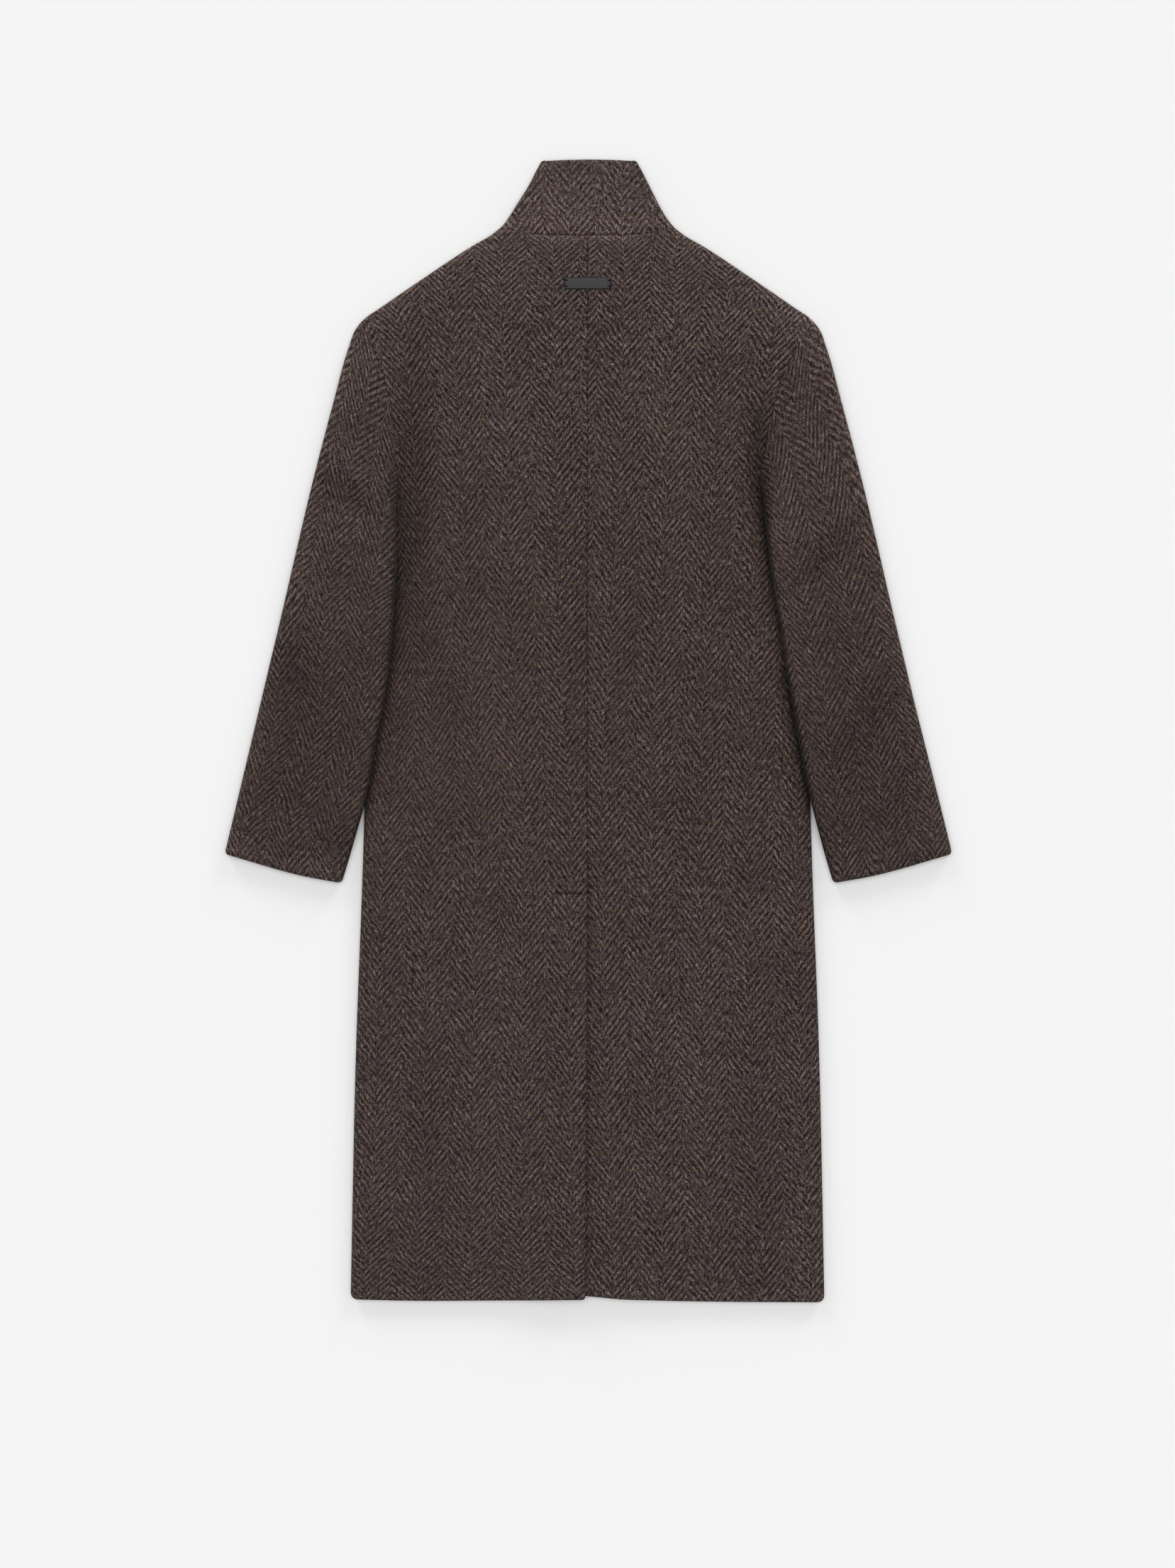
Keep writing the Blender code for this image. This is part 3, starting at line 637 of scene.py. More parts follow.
def sleeve_height(x, y, side):
    """Upper side of a top sleeve, which climbs over the body's side below the armhole."""
    climb = ease((CREASE[0].y - y) / SLEEVE_RISE_RUN)
    return upper(x, y) + SLEEVE_RISE * climb * over_side(x, y, SLEEVE_SLOPE)


def under_height(x, y, side):
    """Lower side of an under sleeve, on the floor and over the body's side."""
    climb = ease((UNDERARM_Y + UNDER_TURN - y) / (2 * UNDER_TURN))
    rest = fold_rise(UNDER_FOLDS, x, y)
    return mix(rest, upper(x, y) + SLEEVE_CLEAR, climb * over_side(x, y, UNDER_SLOPE))


def crease_turn(y):
    """How much of the sleeve's inner fold there is: nothing at the armhole, a whole fold lower down."""
    return ease((CREASE[0].y - y) / CREASE_FLUSH)


def crease_level(x, y, side):
    """Level that the inner fold of the top sleeve comes down to."""
    rests = np.minimum(upper(x, y) + SLEEVE_CLEAR, sleeve_height(x, y, side))
    meets = under_height(x, y, side) + FOLD_RADIUS + SEAM_GAP / 2
    return mix(rests, meets, ease((UNDER_MEETS_FOLD_Y + 2 * FOLD_MEET_RUN - y) / FOLD_MEET_RUN))


# Painted light and shade of the cloth
def fold_painted_shading(x, y):
    """Painted shade in the hollows and painted light on the ridges."""
    return np.exp(FOLD_SHADE * fold_rise(FOLDS, x, y))


def crease_painted_shade(x, y, side):
    """Painted shade beside the fold of the sleeve that lies over the back, and a little on the fold itself.
    """
    word = WORDS[side]
    crease = crease_line(side)
    inside = crease.at(crease.share_at_y(y))[..., 0] - side * x
    width = column_of(CREASE_SHADES, word + "_width")(y)
    on_sleeve = width * mix(SLEEVE_SIDE_SHADE, 1.0, rise(y, *SLEEVE_SIDE_SHADE_Y))
    return 1.0 - column_of(CREASE_SHADES, word)(y) * near(inside, np.where(inside < 0, on_sleeve, width))


def seam_painted_shade_and_light(x, y, side):
    """Painted shade in the centre seam, along the vent's edge and in its stitch line, and painted light on
    the ridges beside them and below the neck seam.
    """
    vent = ease((VENT_TOP_Y - y) / VENT_SHADE_RUN)
    edge = x + vent_lean(y)
    seam = mix(*CENTRE_SEAM_SHADE, rise(y, *CENTRE_SEAM_SHADE_Y)) * near(x, CENTRE_SEAM_SHADE_WIDTH)
    seam = seam * (1.0 - vent)
    light, width = NECK_LIGHT
    # Painted highlight on the back just below the neck seam
    neck = light * near(NECK_SEAM_Y - width - y, width) * (1.0 - rise(np.abs(x), *NECK_LIGHT_ENDS))
    if side > 0:
        # Painted shadow of the left panel's edge on the right panel beside the vent
        beside = sum(shade * near(edge, width) for shade, width in VENT_SHADES)
        return (1.0 + neck) * (1.0 - seam - vent * beside)
    on_line = ease((x - STITCH_LINE_X) / STITCH_START_RUN)
    # Painted shade in the stitch groove across the top of the vent
    shade, width = STITCH_SHADE
    stitch = shade * near(y - VENT_TOP_Y, width) * on_line
    # Painted light on the ridge below the stitch line
    start, reach, fade = STITCH_RIDGE_LIGHT_RUNS
    ridge = ease((VENT_TOP_Y - y) / start) * ease((y - VENT_TOP_Y + reach) / fade) * STITCH_RIDGE_LIGHT * on_line
    # Painted shade along the left panel's edge over the vent
    shade, width = VENT_EDGE_SHADE
    return (1.0 + neck + ridge) * (1.0 - seam - stitch - shade * vent * near(edge, width))


def edge_painted_light(x, y):
    """Painted light towards the outer edges of the shoulders and the sleeves."""
    slant = mix(*EDGE_SLANT, rise(y, *EDGE_SLANT_Y))
    away = (outline.at(outline.share_at_y(y))[..., 0] - np.abs(x)) * slant
    return 1.0 + sum(light * near(away, width) for light, width in EDGE_LIGHTS)


def back_painted_shading(x, y, side):
    # Painted light and shade by height, on the folds and beside the sleeve's fold
    whole = column_of(PAINTED_SHADING_BY_HEIGHT, "back")(y) * fold_painted_shading(x, y) * crease_painted_shade(x, y, side)
    # Painted light along the hem
    hem = 1.0 + HEM_LIGHT[0] * near(y - HEM_Y[side], HEM_LIGHT[1])
    return whole * seam_painted_shade_and_light(x, y, side) * edge_painted_light(x, y) * hem


def sleeve_painted_shading(x, y, side):
    # Painted light and shade by height, on the folds and beside the sleeve's fold
    whole = column_of(PAINTED_SHADING_BY_HEIGHT, "sleeve")(y) * fold_painted_shading(x, y) * crease_painted_shade(x, y, side)
    # Painted light along the cuff, stronger on the left
    low = CREASE[-1].y + (np.abs(x) - CREASE[-1].left) * CUFF_SLOPE
    cuff = 1.0 + CUFF_LIGHT[side] * near(y - low, CUFF_LIGHT_WIDTH)
    return whole * edge_painted_light(x, y) * cuff


def even_tone(x, y, side):
    return np.ones_like(x)


# Lie of the weave: columns across and lines along, in metres of cloth
def back_weave(side):
    word = WORDS[side]
    seam = column_of(BACK_GRAIN, word + "_seam")
    width = column_of(BACK_GRAIN, word + "_width")
    narrows = column_of(BACK_GRAIN, "left_narrows")

    def lie(x, y):
        columns = side * x / width(y) - seam(y)
        across = side * columns * (1.0 + narrows(y) * columns * (side < 0))
        along = y + NECK_SHORTENS[1] * past(y, NECK_SHORTENS[0], SHORTEN_RUN)
        if side < 0:
            along = along - HEM_SHORTENS[1] * past(-y, -HEM_SHORTENS[0], SHORTEN_RUN)
        return across * COLUMN, along
    return lie


def sleeve_weave(side):
    word = WORDS[side]
    edge = column_of(SLEEVE_GRAIN, word + "_edge")
    droop = column_of(SLEEVE_GRAIN, word + "_droop")

    def lie(x, y):
        out = side * x - edge(y)
        return side * (out / SLEEVE_COLUMN[side] + SLEEVE_COLUMNS_OUT) * COLUMN, y - droop(y) * out
    return lie


def collar_weave(x, y):
    return (x - COLLAR_EDGE_X) * COLUMN / COLLAR_COLUMN, y


def front_weave(x, y):
    return x, y


# Making the cloth
Rim = namedtuple("Rim", "run drop")


def rim_lines(count, marks=()):
    """Shares of a grid's lines, a rim's lines at each end and even steps between, with their turns."""
    rims = len(RIM_TURNS)
    even = np.arange(2, count - 1) / count
    for mark in marks:
        even = even[np.abs(even - mark) > 0.45 / count]
    even = np.sort(np.concatenate([even, marks]))
    shares = np.concatenate([np.zeros(rims), even, np.ones(rims)])
    turns = np.concatenate([RIM_TURNS, np.zeros(len(shares) - rims)])
    reach = np.concatenate([1.0 - np.sin(RIM_TURNS), np.zeros(len(shares) - rims)])
    return shares, turns, reach


def turned_rims(place_at, rims, lines, border):
    """What two opposite rims add at each line and border place: shares, depths and lengths of cloth."""
    shares = 0.0
    depths = []
    lengths = 0.0
    for rim, end, sign in zip(rims, (0.0, 1.0), (1, -1)):
        edge = np.full_like(border, end)
        places = place_at(edge, border)
        inwards = place_at(edge + sign * BORDER_STEP, border)
        speed = np.linalg.norm(inwards - places, axis=-1) / BORDER_STEP
        run, drop = rim_sizes(rim, places)
        turn, reach = [line[::sign] for line in lines[1:]]
        shares = shares + sign * np.outer(reach, run / speed)
        depths.append(np.outer(1.0 - np.cos(turn), drop))
        lengths = lengths - sign * np.outer(turn - np.sin(turn), np.abs(drop))
    return shares, depths, lengths


def spread(surface, rims, columns, rows, marks=()):
    """Shares of a fine grid over a surface, and how deep and how far its rims turn at each place."""
    across = rim_lines(columns)
    along = rim_lines(rows, marks)
    sides = (rims["inner"], rims["outer"])
    ends = (rims["bottom"], rims["top"])
    more_a, side_depths, length_a = turned_rims(surface, sides, across, along[0])
    more_b, end_depths, length_b = turned_rims(lambda b, a: surface(a, b), ends, along, across[0])
    depths = side_depths + [depth.T for depth in end_depths]
    depth = sum(np.abs(depth) ** 4 for depth in depths) ** 0.25
    return across[0][:, None] + more_a, along[0][None, :] + more_b.T, depth, length_a, length_b.T


def rim_sizes(rim, border):
    """A rim's run and drop along its border, from numbers or from readings of the border's places."""
    sizes = []
    for size in rim:
        value = size(border[..., 0], border[..., 1]) if callable(size) else size
        sizes.append(np.broadcast_to(value, border.shape[:-1]).astype(float))
    return sizes


def grid_sheet(places, grain):
    """A grid moved to its places, with the lie of the weave and the painted shading kept on its points."""
    columns, rows = places.shape[0] - 1, places.shape[1] - 1
    sheet = bmesh.new()
    weave = sheet.verts.layers.float_vector.new("weave")
    bmesh.ops.create_grid(sheet, x_segments=columns, y_segments=rows, size=0.5)
    points = {}
    for vert in sheet.verts:
        at = (round((vert.co.x + 0.5) * columns), round((vert.co.y + 0.5) * rows))
        vert.co = places[at]
        vert[weave] = grain[at]
        points[at] = vert
    return sheet, points


def extend(sheet, border, move):
    """Extrudes a border once, moved along x in space and in the lie of its weave."""
    weave = sheet.verts.layers.float_vector["weave"]
    chosen = set(border)
    edges = [edge for edge in sheet.edges if edge.is_boundary and set(edge.verts) <= chosen]
    made = bmesh.ops.extrude_edge_only(sheet, edges=edges)["geom"]
    fresh = [vert for vert in made if isinstance(vert, bmesh.types.BMVert)]
    for vert in fresh:
        vert.co.x += move
        vert[weave].x += move
    return fresh


def flat_cloth(plan, height, rims, lie, side, step, painted_shading, up=True, corners=(), marks=()):
    """Places, weave and painted shading of a cloth piece that lies in plan, its rims turned down, or up on
    the underside.
    """
    across = steps_of(straight(plan(0.0, 0.5), plan(1.0, 0.5)), step)
    along = steps_of(straight(plan(0.5, 0.0), plan(0.5, 1.0)), step)
    a, b, depth, more_x, more_y = spread(plan, rims, across, along, marks)
    flat = plan(a, b)
    for corner in corners:
        flat = rounded(flat, *corner)
    x, y = side * flat[..., 0], flat[..., 1]
    z = height(x, y, side) + (-depth if up else depth)
    grain_x, grain_y = lie(x + side * more_x, y + more_y)
    places = np.stack([x, y, z], axis=-1)
    return grid_sheet(places, np.stack([grain_x, grain_y, painted_shading(x, y, side)], axis=-1))


def put(name, data):
    """An object of its own in the scene."""
    thing = bpy.data.objects.new(name, data)
    bpy.context.scene.collection.objects.link(thing)
    return thing


def put_sheet(name, sheet, material):
    """An object made of a sheet, which is used up."""
    mesh = bpy.data.meshes.new(name)
    sheet.to_mesh(mesh)
    sheet.free()
    mesh.materials.append(material)
    return put(name, mesh)


def finish_cloth(node, sheet, up=True, side=1):
    """Gives a sheet its thickness, attaches it to the root body and hides the solid that it stands for."""
    if side < 0:
        bmesh.ops.reverse_faces(sheet, faces=sheet.faces)
    piece = put_sheet("cloth_" + node, sheet, wool)
    piece.data.shade_smooth()
    wall = piece.modifiers.new("Wall", "SOLIDIFY")
    wall.thickness = WALL
    wall.offset = -1.0 if up else 1.0
    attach(piece, "root")
    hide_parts(node)


def shoulder_part():
    return outline.part(neck_share + corner_slack, armhole_share - corner_slack)


def rounded(flat, corner, beside, above, radius):
    """Plan places with a corner rounded off, given a place beside it and one above it on its two edges."""
    ways = np.stack([(way - corner) / np.linalg.norm(way - corner) for way in (beside, above)])
    shares = (flat - corner) @ np.linalg.inv(ways) / radius
    square = np.clip(1.0 - shares, 0.0, 1.0)
    disc = square * np.sqrt(1.0 - square[..., ::-1] ** 2 / 2)
    inside = (shares < 1.0).all(axis=-1, keepdims=True)
    return np.where(inside, corner + (1.0 - disc) * radius @ ways, flat)


def make_back(side, node):
    """A back panel: centre back seam, neck, shoulder, armhole, side and hem."""
    hem_y = HEM_Y[side]
    shoulder = shoulder_part()
    side_edge = side_line.part(side_line.share_at_y(hem_y), 0.0)
    edge = crease_line(side).moved(x=-SEAM_GAP)
    dive_line = edge.part(edge.share_at_y(CREASE[0].y - DIVE_LENGTH), 0.0)
    armhole = Line.through(
        edge.at(0.0),
        *[(reading(row, side)[0] - SEAM_GAP, row.y) for row in reversed(ARMHOLE)],
        shoulder.at(1.0),
    )
    below = dive_line.at(0.0)
    underarm = side_edge.at(1.0)
    pit = Line.through(underarm, mix(underarm, below, 0.5) + spot(*PIT_BOW), below)
    centre = SEAM_GAP / 2
    bottom_y = HEM[side][0][1]
    rows = np.linspace(bottom_y, UNDERARM_Y, 60)
    low = Line(np.stack([centre + vent_lean(rows) * (side < 0), rows], axis=-1))
    high = straight((centre, UNDERARM_Y), (centre, NECK_SEAM_Y))
    outer = chained(CLOTH_STEP, side_edge, pit, dive_line, armhole)
    side_steps, all_steps = outer.ends[1], outer.ends[-1]
    inner = Chain((low, side_steps), (high, all_steps - side_steps))
    neck_end = shoulder.at(0.0)
    start = spot(centre, NECK_SEAM_Y)
    neck = Line.through(start, mix(start, neck_end, SAG_SHARE) - spot(0.0, NECK_SEAM_SAG), neck_end)
    top = chained(CLOTH_STEP, neck, shoulder)
    hem = Line.through(low.at(0.0), *HEM[side][1:], side_edge.at(0.0))
    plan = patch(hem, top, inner, outer)
    corners = [(hem.at(1.0), hem.at(0.9), side_edge.at(0.1), HEM_CORNER_RADIUS)]
    if side < 0:
        corners.append((hem.at(0.0), hem.at(0.1), low.at(0.1), VENT_CORNER_RADIUS))

    vent_run, vent_drop = VENT_ROUND if side < 0 else (SEAM_RUN, 0.0)

    def in_vent(y):
        return ease((VENT_TOP_Y - y) / VENT_START_RUN)

    def centre_run(x, y):
        return mix(SEAM_RUN, vent_run, in_vent(y))

    def centre_drop(x, y):
        start, run = CENTRE_SEAM_NECK
        above = mix(CENTRE_SEAM_DROP, CENTRE_SEAM_NECK_DROP, ease((y - start) / run))
        return mix(above, vent_drop, in_vent(y))

    def fold_down(x, y):
        return back_height(side * x, y, side) - FOLD_RADIUS - SEAM_GAP

    def side_run(x, y):
        return mix(FOLD_RUN, SEAM_RUN, above_underarm(y))

    def side_drop(x, y):
        return mix(fold_down(x, y), ARMHOLE_DROP, above_underarm(y))

    def on_shoulder(x):
        return ease((x - NECK_HALF + SHOULDER_TURN[0]) / SHOULDER_TURN[1])

    def top_run(x, y):
        return mix(SEAM_RUN, FOLD_RUN, on_shoulder(x))

    def top_drop(x, y):
        seam = NECK_SEAM_DROP * (1.0 - rise(x, *NECK_SEAM_FADE))
        return mix(seam, fold_down(x, y), on_shoulder(x))

    rims = {
        "inner": Rim(centre_run, centre_drop),
        "outer": Rim(side_run, side_drop),
        "bottom": Rim(*HEM_ROUND),
        "top": Rim(top_run, top_drop),
    }
    per_share = low.length / side_steps * all_steps
    marks = (VENT_TOP_Y - bottom_y + STITCH_ROWS) / per_share
    sheet, points = flat_cloth(
        plan, back_height, rims, back_weave(side), side, CLOTH_STEP, back_painted_shading, corners=corners, marks=marks
    )
    if side > 0:
        border = [vert for (column, row), vert in points.items() if column == 0 and vert.co.y < VENT_TOP_Y]
        move = -VENT_UNDERLAP / UNDERLAP_STEPS
        for step in range(UNDERLAP_STEPS):
            border = extend(sheet, border, move)
    finish_cloth(node, sheet, side=side)


def front_armhole(pit_end, top_end, gap):
    """The front armhole in two lines, from the underarm to the scoop and on to the shoulder."""
    scoop = (FRONT_SCOOP.x + gap, FRONT_SCOOP.y)
    pit = Line.through(pit_end, (FRONT_PIT.x + gap, FRONT_PIT.y + gap), scoop)
    above = [(place.x + gap, place.y) for place in reversed(FRONT_ARMHOLE)]
    return pit, Line.through(scoop, *above, top_end)


def front_neck(neck_end, gap):
    """The front neck seam, from the front edge past the centre up to the side of the neck."""
    low = FRONT_NECK_Y + gap
    return Line.through((-FRONT_OVERLAP, low), *[(x, low + up) for x, up in FRONT_NECK], neck_end)


def make_front(side, node):
    """A front panel flat on the floor, its side and shoulder turned up to meet the back."""
    hem_y = HEM_Y[side] + FRONT_HEM_RISE
    side_edge = side_line.part(side_line.share_at_y(hem_y), 0.0)
    shoulder = shoulder_part()
    pit, armhole = front_armhole(side_edge.at(1.0), shoulder.at(1.0), 0.0)
    edge_x = -FRONT_OVERLAP
    neck = front_neck(shoulder.at(0.0), 0.0)
    outer = chained(HIDDEN_STEP, side_edge, pit, armhole)
    side_steps, all_steps = outer.ends[1], outer.ends[-1]
    inner = Chain(
        (straight((edge_x, hem_y), (edge_x, UNDERARM_Y)), side_steps),
        (straight((edge_x, UNDERARM_Y), neck.at(0.0)), all_steps - side_steps),
    )
    bottom = straight((edge_x, hem_y), side_edge.at(0.0))
    top = chained(HIDDEN_STEP, neck, shoulder)
    plan = patch(bottom, top, inner, outer)

    def fold_up(x, y):
        return FOLD_RADIUS - floor_height(side * x, y, side)

    def side_drop(x, y):
        return mix(fold_up(x, y), FLAT_EDGE[1], above_underarm(y))

    def top_drop(x, y):
        before, run = FRONT_SHOULDER_TURN
        return mix(FLAT_EDGE[1], fold_up(x, y), ease((x - NECK_HALF + before) / run))

    rims = {
        "inner": Rim(*FLAT_EDGE),
        "outer": Rim(FOLD_RADIUS, side_drop),
        "bottom": Rim(*FLAT_EDGE),
        "top": Rim(FOLD_RADIUS, top_drop),
    }
    sheet = flat_cloth(plan, floor_height, rims, front_weave, side, HIDDEN_STEP, even_tone, up=False)[0]
    finish_cloth(node, sheet, False, side)


def sleeve_outer(side):
    """The sleeve's outer fold, from the cuff up to the armhole, a little further out by the right cuff."""
    points = outline.part(1.0, armhole_share + corner_slack).points
    start, run = CUFF_WIDENS
    wider = RIGHT_CUFF_WIDER * ease((start - points[:, 1]) / run) * (side > 0)
    return Line(np.stack([points[:, 0] + wider, points[:, 1]], axis=-1))


def cuff_line(inner, outer):
    bow = mix(inner, outer, CUFF_BOW_SHARE) + spot(*CUFF_BOW)
    return Line.through(inner, bow, outer)


def cuff_corners(cuff, inner, outer):
    """The cuff's two corners, each with places beside and above it, and their radius."""
    return (
        (cuff.at(0.0), cuff.at(0.1), inner.at(0.05), CORNER_RADIUS),
        (cuff.at(1.0), cuff.at(0.9), outer.at(0.05), CORNER_RADIUS),
    )


def make_sleeve_top(side, node):
    """A top sleeve: armhole seam, outer fold, cuff and the inner fold that lies over the body."""
    outer = sleeve_outer(side)
    crease = crease_line(side).part(1.0, 0.0)
    seam = Line.through(
        crease.at(1.0),
        *[reading(row, side) for row in reversed(ARMHOLE)],
        outer.at(1.0),
    )
    cuff = cuff_line(crease.at(0.0), outer.at(0.0))
    plan = patch(cuff, seam, crease, outer)
    corners = cuff_corners(cuff, crease, outer)

    def outer_drop(x, y):
        return sleeve_height(side * x, y, side) - FOLD_RADIUS - SEAM_GAP

    def crease_run(x, y):
        return mix(CREASE_START_INSET, CREASE_RUN, crease_turn(y))

    def crease_drop(x, y):
        level = crease_level(side * x, y, side)
        return np.maximum(sleeve_height(side * x, y, side) - level, 0.0)

    rims = {
        "inner": Rim(crease_run, crease_drop),
        "outer": Rim(FOLD_RUN, outer_drop),
        "bottom": Rim(*HEM_ROUND),
        "top": Rim(SEAM_RUN, ARMHOLE_DROP),
    }
    sheet = flat_cloth(
        plan, sleeve_height, rims, sleeve_weave(side), side, CLOTH_STEP, sleeve_painted_shading, corners=corners
    )[0]
    finish_cloth(node, sheet, side=side)


def make_sleeve_under(side, node):
    """An under sleeve: on the floor outside the body, over the body's side lower down."""
    outer = sleeve_outer(side)
    crease = crease_line(side)
    lower_edge = crease.part(1.0, crease.share_at_y(UNDER_MEETS_FOLD_Y))
    meet = lower_edge.at(1.0)
    leave = spot(side_x(UNDER_LEAVES_SIDE_Y) + UNDER_BESIDE_SIDE, UNDER_LEAVES_SIDE_Y)
    pit_end = spot(side_x(UNDERARM_Y), UNDERARM_Y) + spot(*UNDER_BESIDE_PIT)
    turn_edge = Line.through(meet, mix(meet, leave, SAG_SHARE), leave, pit_end)
    pit, armhole = front_armhole(pit_end, outer.at(1.0), 3 * SEAM_GAP)
    inner = chained(HIDDEN_STEP, lower_edge, turn_edge, pit)
    cuff = cuff_line(inner.at(0.0), outer.at(0.0))
    plan = patch(cuff, armhole, inner, outer)
    corners = cuff_corners(cuff, lower_edge, outer)

    def inner_drop(x, y):
        return mix(FOLD_RADIUS - SEAM_GAP / 2, FLAT_EDGE[1], above_underarm(y))

    def outer_drop(x, y):
        return FOLD_RADIUS - under_height(side * x, y, side)

    rims = {
        "inner": Rim(FOLD_RADIUS, inner_drop),
        "outer": Rim(FOLD_RADIUS, outer_drop),
        "bottom": Rim(*FLAT_EDGE),
        "top": Rim(*FLAT_EDGE),
    }
    sheet = flat_cloth(
        plan, under_height, rims, sleeve_weave(side), side, HIDDEN_STEP, even_tone, False, corners
    )[0]
    finish_cloth(node, sheet, False, side)


def make_collar(node):
    """The stand collar: one band, its back on top, folded at both sides, its ends crossed underneath."""
    fold = outline.part(neck_share - corner_slack, 0.0)
    seam_y = NECK_SEAM_Y + SEAM_GAP
    fold_in = fold.moved(x=-FOLD_RUN)
    seam_end = fold_in.at(0.0)
    top_end = fold_in.at(1.0)
    start = spot(0.0, seam_y)
    middle = mix(start, seam_end, SAG_SHARE) - spot(0.0, NECK_SEAM_SAG + SEAM_TUCK / 2)
    back_seam = Line.through(start, middle, seam_end - spot(0.0, SEAM_TUCK))
    top_start = spot(0.0, COLLAR_TOP_Y)
    back_top = Line.through(top_start, top_start + spot(*COLLAR_TOP_BOW), top_end)
    back = patch(back_seam, back_top, straight(start, top_start), fold_in)
    front_seam = front_neck(seam_end, 2 * SEAM_GAP)
    front_middle = spot(0.0, FRONT_COLLAR_Y) + spot(*FRONT_COLLAR_BOW)
    front_top = Line.through((-FRONT_OVERLAP, FRONT_COLLAR_Y), front_middle, top_end)
    front = patch(front_seam, front_top, straight(front_seam.at(0.0), front_top.at(0.0)), fold_in)
    turn_end = COLLAR_BACK_STEPS + COLLAR_TURN_STEPS
    half = turn_end + COLLAR_FRONT_STEPS
    shares, turns, reach = rim_lines(COLLAR_ROWS)
    step, along = np.meshgrid(np.arange(-half, half + 1), shares, indexing="ij")
    side = np.where(step < 0, -1, 1)
    away = np.abs(step)
    rim_end = np.where(shares > 0.5, 1.0, 0.0)
    drop_turn = turns + turns[::-1]
    run = (reach + reach[::-1]) * np.where(rim_end > 0, -HEM_ROUND[0], SEAM_RUN)
    along = along + run[None, :] / (COLLAR_TOP_Y - NECK_SEAM_Y)
    back_flat = back(np.clip(away / COLLAR_BACK_STEPS, 0.0, 1.0), along)
    front_flat = front(np.clip((half - away) / COLLAR_FRONT_STEPS, 0.0, 1.0), along)
    angle = math.pi * np.clip((away - COLLAR_BACK_STEPS) / COLLAR_TURN_STEPS, 0.0, 1.0)
    upwards = (1.0 + np.cos(angle)) / 2
    turned = mix(fold_in.at(along), fold.at(along), np.sin(angle)[..., None])
    on_back = away <= COLLAR_BACK_STEPS
    on_front = away >= turn_end
    flat = np.where(on_back[..., None], back_flat, np.where(on_front[..., None], front_flat, turned))
    x, y = side * flat[..., 0], flat[..., 1]
    corner_start, corner_run = COLLAR_CORNER_PART
    y = y - COLLAR_CORNER * np.sin(angle) ** 2 * ease((along - corner_start) / corner_run)
    fine, broad = SEAM_WAVER_TURNS
    waver = SEAM_WAVER * np.sin(fine * x) * np.sin(broad * x + 1.0)
    tuck = mix(waver, SEAM_END_TUCK, rise(np.abs(x), *SEAM_ENDS))
    y = y - tuck * ease((COLLAR_LOW_PART - along) / COLLAR_LOW_PART) * upwards
    border = fold_in.at(along)
    floor_x = np.where(on_front, x, side * border[..., 0])
    low = np.where(side < 0, floor_height(floor_x, y, -1), floor_height(floor_x, y, 1))
    high = upper(np.where(on_back, x, side * border[..., 0]), np.where(on_back, y, border[..., 1]))
    z = mix(low, high, upwards)
    fade = 1.0 - rise(np.abs(x), *NECK_SEAM_FADE)
    seam_drop = NECK_SEAM_DROP * mix(SEAM_END_DROP, 1.0, fade) * on_back
    edge_drop = np.where(rim_end[None, :] > 0, HEM_ROUND[1] * on_back + FLAT_EDGE[1] * on_front, seam_drop)
    z = z - (1.0 - np.cos(drop_turn))[None, :] * edge_drop * np.where(on_front, -1.0, 1.0)
    band = np.where(on_back, np.abs(x), 2 * border[..., 0] - np.abs(x) + angle * FOLD_RADIUS)
    band = np.where(on_back | on_front, band, border[..., 0] + angle * FOLD_RADIUS)
    lie_x, lie_y = collar_weave(side * band, y)
    # Painted light: the collar lighter than the back, most at its seam
    painted_shading = mix(*COLLAR_PAINTED_LIGHT, along)
    places = np.stack([x + COLLAR_LEAN * rise(y, *COLLAR_LEAN_Y), y, z], axis=-1)
    sheet = grid_sheet(places, np.stack([lie_x, lie_y, painted_shading], axis=-1))[0]
    finish_cloth(node, sheet)


